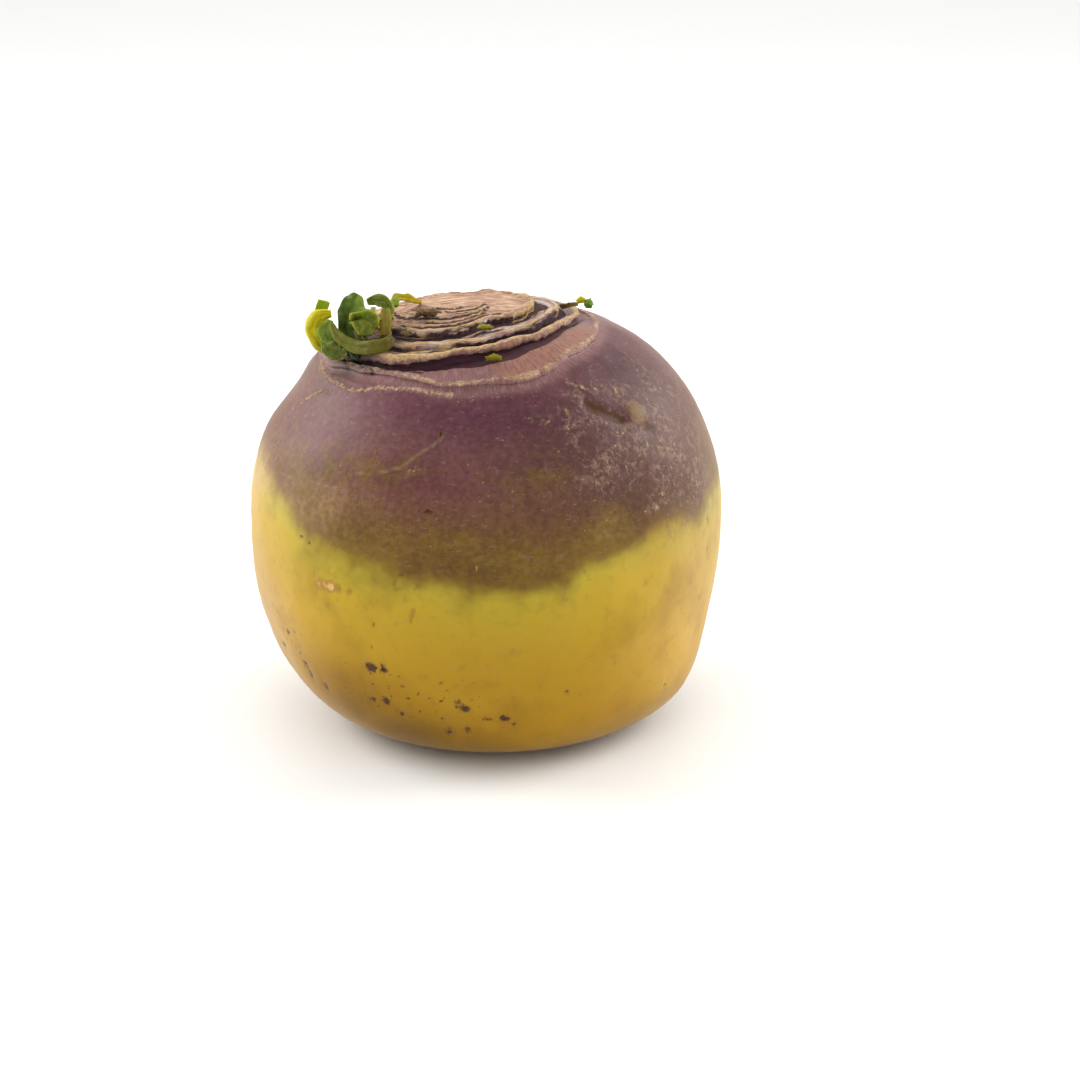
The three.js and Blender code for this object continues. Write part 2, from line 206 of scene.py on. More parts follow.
# %% Make the rings
LIP = [  # offset from the terrace's edge in mm, rise as a share of the terrace's, steps to the next
    (2.2, -0.28, 3), (0.95, -0.45, 2), (0.15, -0.25, 2), (0.42, 0.08, 1),
    (0.6, 0.35, 2), (0.25, 0.53, 2), (-0.5, 0.55, 3), (-1.4, 0.36, 6),
]
TREAD_STEPS = 7
TREAD_SHIFT, TREAD_RISE = 0.8, 0.05
FREE_ROOM, LEAST_ROOM_IN, LEAST_ROOM_OUT = 9.0, 0.3, 0.5
CAP_SHARES = (0.8, 0.6, 0.4, 0.22, 0.08)
CAP_STEPS = 8


def body_ring(radius, height):
    x = radius * swell(azimuths) * np.cos(azimuths)
    y = radius * swell(azimuths) * np.sin(azimuths)
    return np.stack([x, y, np.full(AROUND, height)], axis=1)


def crown_ring(radius, rise):
    x = CROWN_CENTRE[0] + radius * np.cos(azimuths)
    y = CROWN_CENTRE[1] + radius * np.sin(azimuths)
    return np.stack([x, y, dome_height(x, y) + rise], axis=1)


def shoulder_ring(share):
    outer = SHOULDER_RADIUS * swell(azimuths)
    inner = edges[0] + LIP[0][0]
    radius = outer + (inner - outer) * share
    x = CROWN_CENTRE[0] * share + radius * np.cos(azimuths)
    y = CROWN_CENTRE[1] * share + radius * np.sin(azimuths)
    return np.stack([x, y, dome_height(x, y)], axis=1)


def eased(controls, counts):
    """Rings on a smooth line through the control rings, with a count of steps after each."""
    made = []
    last = len(controls) - 1
    for index in range(last):
        before = controls[max(index - 1, 0)]
        here, after = controls[index], controls[index + 1]
        beyond = controls[min(index + 2, last)]
        for step in range(counts[index]):
            t = step / counts[index]
            made.append(0.5 * (2 * here + (after - before) * t
                               + (2 * before - 5 * here + 4 * after - beyond) * t ** 2
                               + (3 * here - 3 * after + beyond - before) * t ** 3))
    return made + [controls[last]]


def room(between_lips):
    """How far a lip's rings may reach towards the next lip and still leave a tread between them."""
    return between_lips / 2 - NARROWEST_TREAD / 2


rings = [body_ring(radius, height) for radius, height in lower_outline(38)]
shoulder_height = float(dome_height(0.0, SHOULDER_RADIUS * swell(math.pi / 2)))
for height in np.linspace(WIDEST_HEIGHT, shoulder_height, 32)[1:-1]:
    rings.append(body_ring(upper_radius(height), height))
rings += [shoulder_ring(share) for share in np.linspace(0, 1, 18)[:-1]]

controls, counts = [], []
for index, (edge, rise) in enumerate(zip(edges, rises)):
    free = np.full(AROUND, FREE_ROOM)
    outer_room = room(edges[index - 1] - edge) if index else free
    inner_room = room(edge - edges[index + 1]) if index + 1 < len(EDGES) else free
    for offset, share, steps in LIP:
        innermost, outermost = -np.maximum(inner_room, LEAST_ROOM_IN), np.maximum(outer_room, LEAST_ROOM_OUT)
        controls.append(crown_ring(edge + np.clip(offset, innermost, outermost), share * rise))
        counts.append(steps)
    if index + 1 < len(EDGES):
        middle = (edge + edges[index + 1]) / 2
        controls.append(crown_ring(middle + np.clip(inner_room - 1.0, 0.0, TREAD_SHIFT), TREAD_RISE * rise))
        counts.append(TREAD_STEPS)
for share in CAP_SHARES:
    tilt = 1 - RISES[-1][1] * share * np.cos(azimuths)
    controls.append(crown_ring(edges[-1] * share, LIP_SHARE * RISES[-1][0] * tilt - CAP_SINK))
    counts.append(CAP_STEPS)
rings += eased(controls, counts[:-1])
round_grid = np.array(rings)
grid = out_of_round(round_grid)
print("rings:", len(rings), "triangles:", 2 * len(rings) * AROUND)

# %% [markdown]
# ## Where things are on the skin
# Paint and fine relief both need to know where on the root a point is: how far above or below the
# purple line, how near a lip, how near a blemish. Each of these is a field, one number for every
# vertex, worked out once and used both to move the vertices and, as an attribute, to colour them.

# %% Coordinates of every vertex
x, y, z = grid[..., 0], grid[..., 1], grid[..., 2]
turn = np.degrees(np.arctan2(y, x))
reach = np.hypot(x, y)
from_crown = round_grid[..., :2] - CROWN_CENTRE
crown_angle = np.arctan2(from_crown[..., 1], from_crown[..., 0])
crown_turn = np.degrees(crown_angle)
crown_reach = np.hypot(from_crown[..., 0], from_crown[..., 1])
on_top = (z > 80) & (crown_reach < 50)


def turned(turn_degrees, centre):
    """Degrees from a centre azimuth, between -180 and 180."""
    return (turn_degrees - centre + 180) % 360 - 180


def around_crown(values):
    """A value given per azimuth of the crown, looked up for every vertex."""
    wrapped = np.append(values, values[0])
    place = (crown_angle % (2 * math.pi)) / (2 * math.pi) * AROUND
    return np.interp(place, np.arange(AROUND + 1), wrapped)


def noise_field(wavelength, seed, flatten=1.0):
    """Smooth noise over the grid, about -1 to 1. Flatten over 1 squashes its marks in height."""
    scaled = grid / wavelength * np.array([1, 1, flatten])
    values = [noise.noise(Vector(point) + Vector((seed, 0, 0))) for point in scaled.reshape(-1, 3)]
    return np.array(values).reshape(x.shape) * 1.6


def hill(distance, width):
    return np.exp(-(distance / width) ** 2)


def patch(azimuth, height, half_length, half_height):
    """A soft spot on the skin, 1 at its middle, with its half sizes in mm."""
    sideways = np.radians(turned(turn, azimuth)) * reach
    return np.exp(-(sideways / half_length) ** 2 - ((z - height) / half_height) ** 2)


def skin_line(points, width):
    """A soft line over the skin through places given as (azimuth, height)."""
    made = np.zeros_like(x)
    for (turn_a, height_a), (turn_b, height_b) in zip(points, points[1:]):
        steps = max(2, int(abs(turn_b - turn_a) / 1.2) + int(abs(height_b - height_a) / 0.8))
        for share in np.linspace(0, 1, steps + 1):
            sideways = np.radians(turned(turn, turn_a + (turn_b - turn_a) * share)) * reach
            upward = z - height_a - (height_b - height_a) * share
            made = np.maximum(made, hill(np.hypot(sideways, upward), width))
    return made


# %% [markdown]
# ## The purple line
# The skin turned purple only where it stood out of the soil, so the line dips and climbs with the
# lie of the earth around the root. It is a height for each azimuth, lowest at the front.

# %% Height of the purple line
LINE_PLACES = [  # azimuth, height in mm
    (-180, 71), (-165, 71.5), (-148, 66), (-139, 61), (-128, 57), (-117, 55), (-104, 54.2), (-93, 52.3),
    (-84, 51.6), (-72, 53.4), (-61, 57), (-50, 59), (-35, 60.5), (-15, 62), (10, 66), (40, 61), (70, 57),
    (100, 62), (130, 66), (155, 62),
]
line_height = all_round(LINE_PLACES, turn)
above_line = z - line_height
print("purple line: lowest at", round(float(line_height.min()), 1), "mm")

# %% [markdown]
# ## Lips, gaps and thin old scars
# Cork forms on every lip. Gaps are the recesses under the lips, painted dark as shade over their
# purple skin, and the one under the largest lip opens into a smooth band of dark purple painted
# shade. Between the lips the treads carry thinner scars, each a saw-tooth step of a few tenths of a
# millimetre that runs part of the way round, with a thin line of painted shade at its foot.

# %% Lips and gaps
LIP_CORK = [0.9, 1.2, 0.95, 0.9]
# Below its corky share a riser is painted dark, as shade under its lip.
CORKY_SHARE = [-0.2, 0.05, 0.4, 0.42]  # the riser is corky above this share of its rise and dark below
RECESSES = [  # for each lip, the width in mm of the dark recess outside it at a few azimuths
    [(0, 0.0)],
    [(-150, 1.0), (-112, 0.9), (-98, 1.3), (-90, 2.1), (-80, 3.3), (-68, 4.0), (-58, 3.7), (-45, 2.7),
     (-25, 1.4), (-5, 0.4), (15, 0.2), (60, 1.0), (150, 1.2)],
    [(-150, 1.0), (-120, 0.4), (-88, 0.2), (-70, 0.9), (-52, 1.7), (-36, 1.9), (-13, 1.6), (8, 0.6),
     (60, 1.0)],
    [(-150, 1.0), (-123, 1.0), (-98, 0.7), (-84, 1.1), (-70, 1.7), (-55, 1.5), (-35, 0.8), (-12, 1.6),
     (12, 3.0), (40, 1.2), (120, 1.0)],
]
# how strongly painted shade shows in the recess outside each lip
RECESS_SHADE_STRENGTH = [0.0, 1.0, 0.95, 0.95]
crown_edges = [around_crown(edge) for edge in edges]
lift = round_grid[..., 2] - dome_height(round_grid[..., 0], round_grid[..., 1])
cork = np.zeros_like(x)
gap = np.zeros_like(x)
for index, edge in enumerate(crown_edges):
    outside = crown_reach - edge
    share = lift / around_crown(rises[index]) + 0.12 * around_crown(ripple_noise(azimuths, 16, 60 + index))
    corky = smooth_step(CORKY_SHARE[index] - 0.15, CORKY_SHARE[index] + 0.1, share)
    corky = corky * smooth_step(1.1, 0.7, outside)
    uneven = 0.3 * ripple_noise(azimuths, 6, 70 + index) + 0.12 * ripple_noise(azimuths, 18, 80 + index)
    uneven = around_crown(0.9 + uneven)
    cork = np.maximum(cork, LIP_CORK[index] * uneven * hill(outside + 0.35, 1.15) * corky)
    # The floor of each recess, where its riser is not corky, gets painted shade.
    recess = all_round(RECESSES[index], crown_turn)
    floor_shade = smooth_step(recess + 1.3, recess + 0.5, outside) * smooth_step(-0.1, 0.25, outside)
    gap = np.maximum(gap, RECESS_SHADE_STRENGTH[index] * (1 - corky) * floor_shade * smooth_step(0.1, 0.5, recess))
shaded_band = on_top * gap * (crown_reach > crown_edges[1])
outside_third = crown_reach - crown_edges[2]
lilac = on_top * smooth_step(0.0, 0.3, outside_third) * smooth_step(3.4, 2.2, outside_third)
lilac = lilac * hill(turned(crown_turn, -22), 38)

# %% Thin scars on the treads
THIN_SCARS = [  # on the crown: first and last azimuth, radius at the start, middle and end, step in mm
    (-136, -62, 22.4, 22.8, 19.0, 0.55), (-130, -74, 28.9, 28.7, 27.2, 0.55),
    (-60, 14, 27.6, 26.4, 27.8, 0.5), (-48, 22, 21.2, 20.4, 21.6, 0.45), (-124, -44, 15.4, 16.6, 12.0, 0.5),
    (-96, -20, 10.6, 11.4, 9.0, 0.35), (-150, -96, 33.0, 33.4, 34.2, 0.3), (40, 118, 27.0, 27.8, 26.4, 0.5),
    (100, 178, 21.0, 21.6, 20.4, 0.5), (20, 96, 21.0, 21.8, 20.0, 0.45), (150, 236, 27.4, 28.4, 27.4, 0.5),
    (60, 170, 13.6, 14.8, 12.8, 0.4), (170, 250, 15.0, 14.6, 12.6, 0.4), (190, 250, 21.6, 21.0, 22.6, 0.45),
    (-150, -30, 12.6, 13.8, 10.4, 0.5), (-118, 6, 7.4, 8.6, 7.0, 0.4), (-160, -50, 5.0, 5.4, 4.6, 0.35),
    (-108, -34, 19.8, 17.6, 16.2, 0.5), (-140, -76, 18.6, 19.4, 17.4, 0.5), (-98, -52, 25.0, 24.6, 24.0, 0.5),
]
SCAR_SLOPE, SCAR_SHOW = 2.4, 0.9
scar_relief = np.zeros_like(x)
for index, (first, last, start, middle, end, step_mm) in enumerate(THIN_SCARS):
    share = turned(crown_turn, (first + last) / 2) / (last - first) + 0.5
    radius = start * (1 - share) * (1 - 2 * share) + middle * 4 * share * (1 - share)
    radius = radius + end * share * (2 * share - 1)
    radius = radius + 0.45 * around_crown(ripple_noise(azimuths, 8, 50 + index))
    fade = smooth_step(0.0, 0.16, share) * smooth_step(1.0, 0.84, share)
    inside = radius - crown_reach
    tooth = smooth_step(-0.25, 0.1, inside) * np.clip(1 - inside / SCAR_SLOPE, 0, 1)
    scar_relief = np.maximum(scar_relief, fade * step_mm * tooth * on_top)
    cork = np.maximum(cork, SCAR_SHOW * fade * hill(inside - 0.5, 0.75))
    # a thin line of painted shade at the foot of each step
    gap = np.maximum(gap, SCAR_SHOW * fade * hill(inside + 0.5, 0.75))
cork *= on_top
gap *= on_top
print("thin scars:", len(THIN_SCARS))

# %% Parts of the crown
outside_largest = crown_reach - crown_edges[1]
outside_band = crown_reach - crown_edges[0]
treads = on_top * smooth_step(0.5, -0.1, outside_largest)
cap = on_top * smooth_step(0.4, -0.4, crown_reach - crown_edges[3])
band = on_top * smooth_step(-0.2, 0.4, outside_largest) * smooth_step(4.2, 0.8, outside_band)
pad = band * smooth_step(0.6, -0.4, outside_band) * smooth_step(-78, -68, crown_turn)
pad = pad * smooth_step(0, -20, crown_turn)
pale_tread = on_top * hill(crown_reach - 22.5, 2.2) * hill(turned(crown_turn, -85), 30)
# dark brown patches on the cap, to the right of the tuft
debris = hill(np.hypot((x + 18) / 1.4, y + 9), 6.0)
debris = on_top * np.maximum(debris, 0.8 * hill(np.hypot((x + 2) / 4, y + 12), 2.5))
tuft_shade = on_top * hill(np.hypot((x + 29) / 1.7, y + 21), 6.0)
print("crown: dry tissue on", int((treads > 0.5).sum()), "vertices")

# %% [markdown]
# The dry layers of the treads run along the lips, not in circles. So their pattern is drawn in a
# coordinate of its own, the distance in from the lip outside them, with the way around as the other.

# %% Coordinates along the layers
layer_depth = crown_edges[0] - crown_reach
for index in range(1, len(EDGES)):
    inside_edge = crown_reach < crown_edges[index] + 0.3
    layer_depth = np.where(inside_edge, crown_edges[index] - crown_reach + 12.0 * index, layer_depth)
layer_way = np.abs(turned(crown_turn, 90)) * math.radians(28)

# %% [markdown]
# ## Lines and spots on the skin
# Scars, scratches and cracks are soft lines, and blemishes and wounds are soft spots. Each could be
# its own little piece of code. Tables are shorter: places in degrees around the root and
# millimetres up it, which one loop turns into a field each.

# %% Lines
LINES = {  # field: places as (azimuth, height), width in mm, strength
    "outer_scars": [
        ([(-170, 96.2), (-160, 95.4), (-146, 94.9), (-136, 94.7), (-127, 96.5), (-112, 97.2), (-100, 96.8)],
         0.85, 0.92),
        ([(-100, 96.8), (-92, 96.6), (-86, 96.5), (-78, 96.3)], 0.85, 0.6),
        ([(-165, 84.5), (-161, 86.9), (-157, 89.9), (-151, 92.5), (-146, 92.8)], 0.85, 0.85),
        ([(-59, 97.9), (-54, 96.4), (-52, 95.0)], 0.85, 0.85),
        ([(20, 97.0), (45, 95.0), (70, 96.5), (95, 95.5)], 0.85, 0.55),
        ([(110, 91.5), (130, 93.5), (150, 92.0), (170, 93.0)], 0.85, 0.55),
        ([(60, 84.0), (85, 82.0), (104, 84.5)], 0.85, 0.4)],
    "scratches": [
        ([(-101, 88.4), (-103, 86.4), (-106, 84.7), (-111, 80.9), (-116, 79.2), (-123, 78.1)], 0.8, 1.0),
        ([(-160, 71.2), (-142, 73.0), (-126, 73.9)], 0.65, 1.0),
        ([(-76, 74.8), (-69, 74.2), (-67, 75.4), (-66, 78.6)], 0.6, 0.8),
        ([(-74, 71.3), (-66, 70.7)], 0.5, 0.6), ([(128, 74), (140, 78), (158, 77)], 0.7, 0.6)],
    "cracks": [
        ([(-112, 57.4), (-109, 55.0), (-111, 52.2), (-107, 50.4), (-108, 47.6), (-105, 45.2), (-107, 43.0)],
         0.6, 1.0),
        ([(-105, 56.6), (-104, 53.2), (-107, 50.4)], 0.5, 1.0),
        ([(-130, 49.6), (-124, 48.2), (-121, 49.2)], 0.6, 1.0),
        ([(-64, 52.4), (-66, 55.6), (-65, 58.8)], 0.6, 0.9)],
    "gouge": [([(-56, 92.9), (-53, 91.7), (-50, 90.2), (-46, 88.6)], 1.3, 1.0)],
    "wound": [([(-133, 47.2), (-127.5, 48.8)], 1.0, 1.0)],
}
fields = {}
for name, rows in LINES.items():
    fields[name] = np.zeros_like(x)
    for points, width, strength in rows:
        fields[name] = np.maximum(fields[name], strength * skin_line(points, width))
cork = np.maximum(cork, fields.pop("outer_scars"))
print("lines:", {name: len(rows) for name, rows in LINES.items()})

# %% Spots
SPOTS = {  # field: azimuth, height, half length along the ground and half height on the skin, strength
    "gouge": [(-38, 85.6, 2.4, 0.9, 0.9)], "wound": [(-132, 48.4, 1.1, 1.2, 0.8)],
    "bump_spot": [(-39.5, 89.0, 3.4, 2.7, 1.0)], "dimple": [(-27, 100.4, 3.4, 1.4, 1.0)],
    "blemish": [
        (-118, 28.6, 2.28, 1.8, 1.0), (-114.5, 28.9, 1.44, 1.92, 0.85), (-119, 19.0, 1.8, 1.08, 0.85),
        (-115, 19.4, 1.56, 1.44, 0.9), (-112, 18.2, 1.2, 0.72, 0.7), (-111, 16.1, 0.96, 0.96, 0.75),
        (-110, 24.3, 0.84, 0.72, 0.65), (-104, 25.7, 1.08, 0.84, 0.7), (-100, 26.6, 0.84, 0.72, 0.65),
        (-96, 21.7, 1.8, 0.84, 0.85), (-94.5, 19.1, 1.92, 1.08, 0.95), (-100, 16.1, 0.96, 0.72, 0.6),
        (-99, 11.9, 2.04, 1.8, 0.68), (-94, 12.8, 1.56, 1.56, 0.68), (-89, 16.8, 2.4, 0.96, 0.85),
        (-84.5, 16.6, 1.92, 1.32, 0.9), (-82, 14.8, 1.08, 0.96, 0.75), (-69, 22.2, 1.08, 0.96, 0.8),
        (-104, 20.4, 0.84, 0.72, 0.6), (-108, 21.8, 0.72, 0.72, 0.55), (-117, 34.6, 0.84, 0.72, 0.5),
        (-116, 41.0, 1.32, 0.72, 0.6), (-148, 30.6, 1.44, 1.08, 0.75), (-154, 24.4, 1.68, 1.44, 0.75),
        (-143, 22.4, 1.56, 1.2, 0.85), (-142, 20.0, 1.32, 1.44, 0.85), (-136, 18.6, 1.68, 1.32, 0.85),
        (-19, 57.2, 1.08, 1.68, 0.62), (-19, 49.0, 1.08, 1.68, 0.6), (-32, 37.1, 1.08, 0.84, 0.5),
        (-22, 36.6, 1.08, 0.96, 0.5), (-35, 16.5, 1.08, 0.96, 0.55), (-64, 17.2, 0.84, 0.72, 0.5),
        (-103, 71.5, 2.28, 0.96, 0.8), (-118, 83.5, 1.32, 0.96, 0.7), (-101.5, 88.6, 0.72, 1.56, 0.8),
        (-113, 67.3, 0.72, 1.92, 0.6), (-109, 55.2, 1.92, 0.96, 0.62), (-138, 59.2, 1.08, 0.96, 0.7),
        (-135, 58.4, 0.84, 0.84, 0.6), (-89, 60.5, 0.96, 0.84, 0.5), (-81, 64.7, 1.08, 0.72, 0.5),
        (35, 24.0, 2.64, 1.92, 0.9), (58, 17.0, 2.28, 1.44, 0.85), (83, 29.0, 1.92, 1.32, 0.8),
        (104, 14.0, 2.64, 1.68, 0.9), (126, 22.0, 1.92, 1.68, 0.8), (148, 33.0, 1.68, 1.92, 0.75),
        (72, 60.0, 1.68, 1.08, 0.6), (117, 71.0, 2.16, 1.08, 0.65), (168, 46.0, 1.44, 1.44, 0.7),
    ],
}
for name, rows in SPOTS.items():
    fields.setdefault(name, np.zeros_like(x))
    for *place, strength in rows:
        fields[name] = np.maximum(fields[name], strength * patch(*place))
fields["olive_scab"] = patch(-39.5, 89.0, 2.6, 2.2) ** 0.5
fields["taproot_scar"] = hill(reach, 9.0) * (z < 3)
fields["specked"] = np.maximum(patch(-106, 21, 24, 9), 0.9 * patch(-145, 26, 9, 10))
fields["specked"] += 0.8 * patch(70, 22, 60, 12)
print("blemishes:", len(SPOTS["blemish"]))

# %% [markdown]
# ## Zones of colour
# Sun, soil and rubbing tint the skin in broad zones, and a few zones are painted light and shade:
# a painted shadow low on the front left, gold there that is partly painted shadow, and a paler left
# side that is partly painted rim light. Russet is rough cork where the skin grew too fast and split,
# most of it on the right shoulder. Olive is chlorophyll that shows through the purple. These two
# build up where their spots overlap. Of the others the strongest spot counts.

# %% Zones
BUILT_UP = {  # field: azimuth, height, half length, half height in mm, strength
    "russet": [
        (-45, 85, 19, 9, 0.95), (-58, 77, 11, 7, 0.8), (-34, 77, 15, 11, 0.85), (-36, 95, 17, 6, 0.4),
        (-24, 68, 12, 9, 0.6), (-62, 94, 9, 4, 0.5), (62, 84, 20, 9, 0.7), (115, 79, 26, 8, 0.55),
        (165, 88, 14, 8, 0.5), (-12, 84, 9, 12, 0.45)],
    "olive": [
        (-78, 58, 17, 7, 0.9), (-58, 63, 8, 7, 1.3), (-96, 62, 14, 8, 0.8), (-118, 64, 14, 8, 0.75),
        (-140, 70, 12, 9, 0.9), (-152, 78, 10, 7, 0.6), (-128, 79, 14, 5, 0.6), (-110, 80, 10, 5, 0.5),
        (-76, 78, 14, 6, 0.55), (-52, 70, 10, 8, 0.4), (30, 66, 24, 9, 0.8), (85, 64, 26, 9, 0.8),
        (140, 72, 24, 9, 0.8), (-165, 76, 10, 6, 0.6)],
}
STRONGEST = {
    "umber": [(-50, 80, 30, 16, 1.0), (-78, 76, 22, 12, 0.7)],
    "maroon": [(-60, 91, 20, 5, 1.0), (-86, 92, 26, 4.5, 1.0), (-32, 97, 14, 4, 0.8)],
    "plum": [(-68, 84, 15, 7, 1.0), (-52, 72, 18, 8, 1.0), (-45, 92, 16, 6, 0.9), (-30, 95, 18, 8, 1.0)],
    "mauve": [(-150, 80, 28, 13, 1.0), (-106, 78, 20, 9, 0.75)],
    "lime": [(-88, 45, 30, 6, 1.0), (-132, 53, 18, 7, 1.0), (-16, 46, 7, 14, 0.3)],
    "orange": [(-150, 32, 13, 15, 1.0), (-30, 26, 20, 16, 1.0)],
    # darker gold low on the front: the skin's own tone, and at the front left also painted shadow
    "deep_gold": [(-124, 20, 22, 10, 1.0), (-88, 30, 30, 16, 0.45)],
    "tan_gold": [(-28, 46, 16, 10, 1.0), (-160, 36, 14, 16, 0.8), (-36, 56, 18, 6, 0.8)],
    # paler tan on the left: painted rim light near the edge, paler skin further in
    "bleached": [(-164, 69, 9, 7, 1.0), (-134, 69.5, 14, 6, 0.85), (-158, 34, 10, 12, 0.6)],
    # a painted shadow low on the front left
    "soot": [(-110, 10, 17, 7, 1.0), (-126, 14, 13, 7, 0.7)],
}
for name, rows in {**BUILT_UP, **STRONGEST}.items():
    fields[name] = np.zeros_like(x)
    for *place, strength in rows:
        so_far, spot = fields[name], strength * patch(*place)
        fields[name] = 1 - (1 - so_far) * (1 - spot) if name in BUILT_UP else np.maximum(so_far, spot)
print("zones:", len(BUILT_UP) + len(STRONGEST))

# %% [markdown]
# ## Relief
# Growth leaves slow swells, fine level wrinkles and rough cork. The vertices move along the
# surface normal by these fields, a few tenths of a millimetre each. Anything finer than the grid
# is left to the material's bump. A leaf grows out of a small raised foot, so the tissue also rises
# to meet each one.

# %% Raised feet
LEAF_FEET = [  # x and y of each foot and the rise in mm under it
    (-16.2, -2.6, 1.0), (-34.0, -19.5, 0.55), (-25.5, -26.1, 0.45), (-36.5, -8.8, 0.85), (-35.2, -16.3, 1.35),
    (-29.9, -17.1, 0.95), (-33.8, -13.3, 1.3), (0.0, -24.0, 0.8), (-28.7, -12.0, 1.3), (-37.0, -14.1, 0.5),
]
FOOT_WIDTH = 1.6
feet = np.zeros_like(x)
for foot_x, foot_y, rise_mm in LEAF_FEET:
    feet = np.maximum(feet, rise_mm * on_top * hill(np.hypot(x - foot_x, y - foot_y), FOOT_WIDTH))
print("leaf feet:", len(LEAF_FEET))

# %% Move the vertices
def grid_normals(points):
    around = np.roll(points, -1, axis=1) - np.roll(points, 1, axis=1)
    upward = np.gradient(points, axis=0)
    normals = np.cross(around, upward)
    return normals / np.maximum(np.linalg.norm(normals, axis=2, keepdims=True), 1e-9)


body = smooth_step(3, 12, z) * (1 - treads)
swells = 0.5 * noise_field(34, 2.0) + 0.2 * noise_field(13, 5.0)
wrinkles = 0.07 * noise_field(6, 8.0, flatten=4)
cork_grain = noise_field(1.3, 11.0)
tread_waves = noise_field(2.4, 17.0) * 0.12 + noise_field(6.5, 19.0) * 0.35
relief = body * (swells + wrinkles)
relief += treads * (1 - gap) * tread_waves + scar_relief
relief += (0.2 - 0.13 * treads) * cork * (0.5 + cork_grain)
relief += 0.14 * fields["russet"] * np.maximum(cork_grain, -0.3) * (1 - treads)
relief += 0.55 * pad - 0.5 * shaded_band + feet
MARKS = {"blemish": -0.4, "wound": -0.3, "scratches": -0.12, "cracks": -0.2, "bump_spot": 0.7, "gouge": -1.1,
         "dimple": -0.4}
for name, height_mm in MARKS.items():
    relief += height_mm * fields[name]
relief -= 0.5 * hill(crown_reach - 4, 5) * cap
relief *= smooth_step(0.0, 3.0, z)
grid = grid + grid_normals(grid) * relief[..., None]
print("relief from", round(float(relief.min()), 2), "to", round(float(relief.max()), 2), "mm")


# %% [markdown]
# ## From points to a mesh
# The same helper turns any stack of closed rings into a Blender mesh in metres, closed at both
# ends by one point, and carries the fields along as attributes that a material can read.

# %% Mesh helper
def ring_mesh(name, points, marks=None, first=None, last=None):
    """A closed, smooth-shaded object from an array of rings (rows, around, xyz) in millimetres."""
    rows, around, _ = points.shape
    first = points[0].mean(axis=0) if first is None else first
    last = points[-1].mean(axis=0) if last is None else last
    vertices = np.vstack([first, points.reshape(-1, 3), last]) * MM
    faces = []
    end = len(vertices) - 1
    top_row = 1 + (rows - 1) * around
    for step in range(around):
        following = (step + 1) % around
        faces.append((0, 1 + following, 1 + step))
        faces.append((top_row + step, top_row + following, end))
    for row in range(rows - 1):
        low, high = 1 + row * around, 1 + (row + 1) * around
        for step in range(around):
            following = (step + 1) % around
            faces.append((low + step, low + following, high + following, high + step))
    mesh = bpy.data.meshes.new(name)
    mesh.from_pydata(vertices.tolist(), [], faces)
    mesh.polygons.foreach_set("use_smooth", [True] * len(mesh.polygons))
    for field, values in (marks or {}).items():
        flat = values.reshape(-1)
        layer = mesh.attributes.new(field, "FLOAT", "POINT")
        layer.data.foreach_set("value", np.concatenate([[flat[0]], flat, [flat[-1]]]).astype(float))
    piece = bpy.data.objects.new(name, mesh)
    bpy.context.scene.collection.objects.link(piece)
    return piece


fields.update({
    "above_line": above_line, "cork": cork, "gap": gap, "treads": treads, "cap": cap, "band": band,
    "pad": pad, "lilac": lilac, "pale_tread": pale_tread, "debris": debris, "tuft_shade": tuft_shade,
    "layer_depth": layer_depth, "layer_way": layer_way,
})
root = ring_mesh("rutabaga_root", grid, fields, first=np.array([0.0, 0.0, 0.0]))
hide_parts("root")
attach(root, "root")
print("root faces:", len(root.data.polygons), "fields:", len(fields))

# %% [markdown]
# ## Colours and nodes
# Colours are easiest to judge as sRGB hex, the way a paint chart gives them, and shaders want
# linear light, so one function converts. One more adds a node with its settings and links. With
# these two, a material reads as a list of what lies over what.


# %% Small helpers for materials
def linear(hex_colour):
    """sRGB hex, such as "c6b04a", to a linear RGBA colour."""
    channels = [int(hex_colour[start:start + 2], 16) / 255 for start in (0, 2, 4)]
    return [c / 12.92 if c <= 0.04045 else ((c + 0.055) / 1.055) ** 2.4 for c in channels] + [1.0]


def add_node(tree, kind, settings=None, links=None, output=None):
    """Add a node and return an output. Settings name properties or inputs, links join inputs."""
    node = tree.nodes.new(kind)
    for name, value in (settings or {}).items():
        if name == "stops":
            ramp = node.color_ramp
            ramp.elements.remove(ramp.elements[-1])
            ramp.elements[0].position, ramp.elements[0].color = value[0][0], linear(value[0][1])
            for place, colour in value[1:]:
                ramp.elements.new(place).color = linear(colour)
        elif isinstance(name, int) or name in node.inputs:
            node.inputs[name].default_value = value
        else:
            setattr(node, name, value)
    for name, source in (links or {}).items():
        tree.links.new(source, node.inputs[name])
    if not node.outputs:
        return node
    return node.outputs[output] if output else next(found for found in node.outputs if found.enabled)


def new_material(name):
    material = bpy.data.materials.new(name)
    material.use_nodes = True
    material.node_tree.nodes.clear()
    return material, material.node_tree


# %% [markdown]
# ## Layers of colour
# A skin is many thin colours over one another, each showing only in some places. So two helpers
# say this directly. One makes the mask, a weighted sum of fields and noises that is cut to a soft
# threshold, and the other lays a colour through it. Then a material is a table of layers.


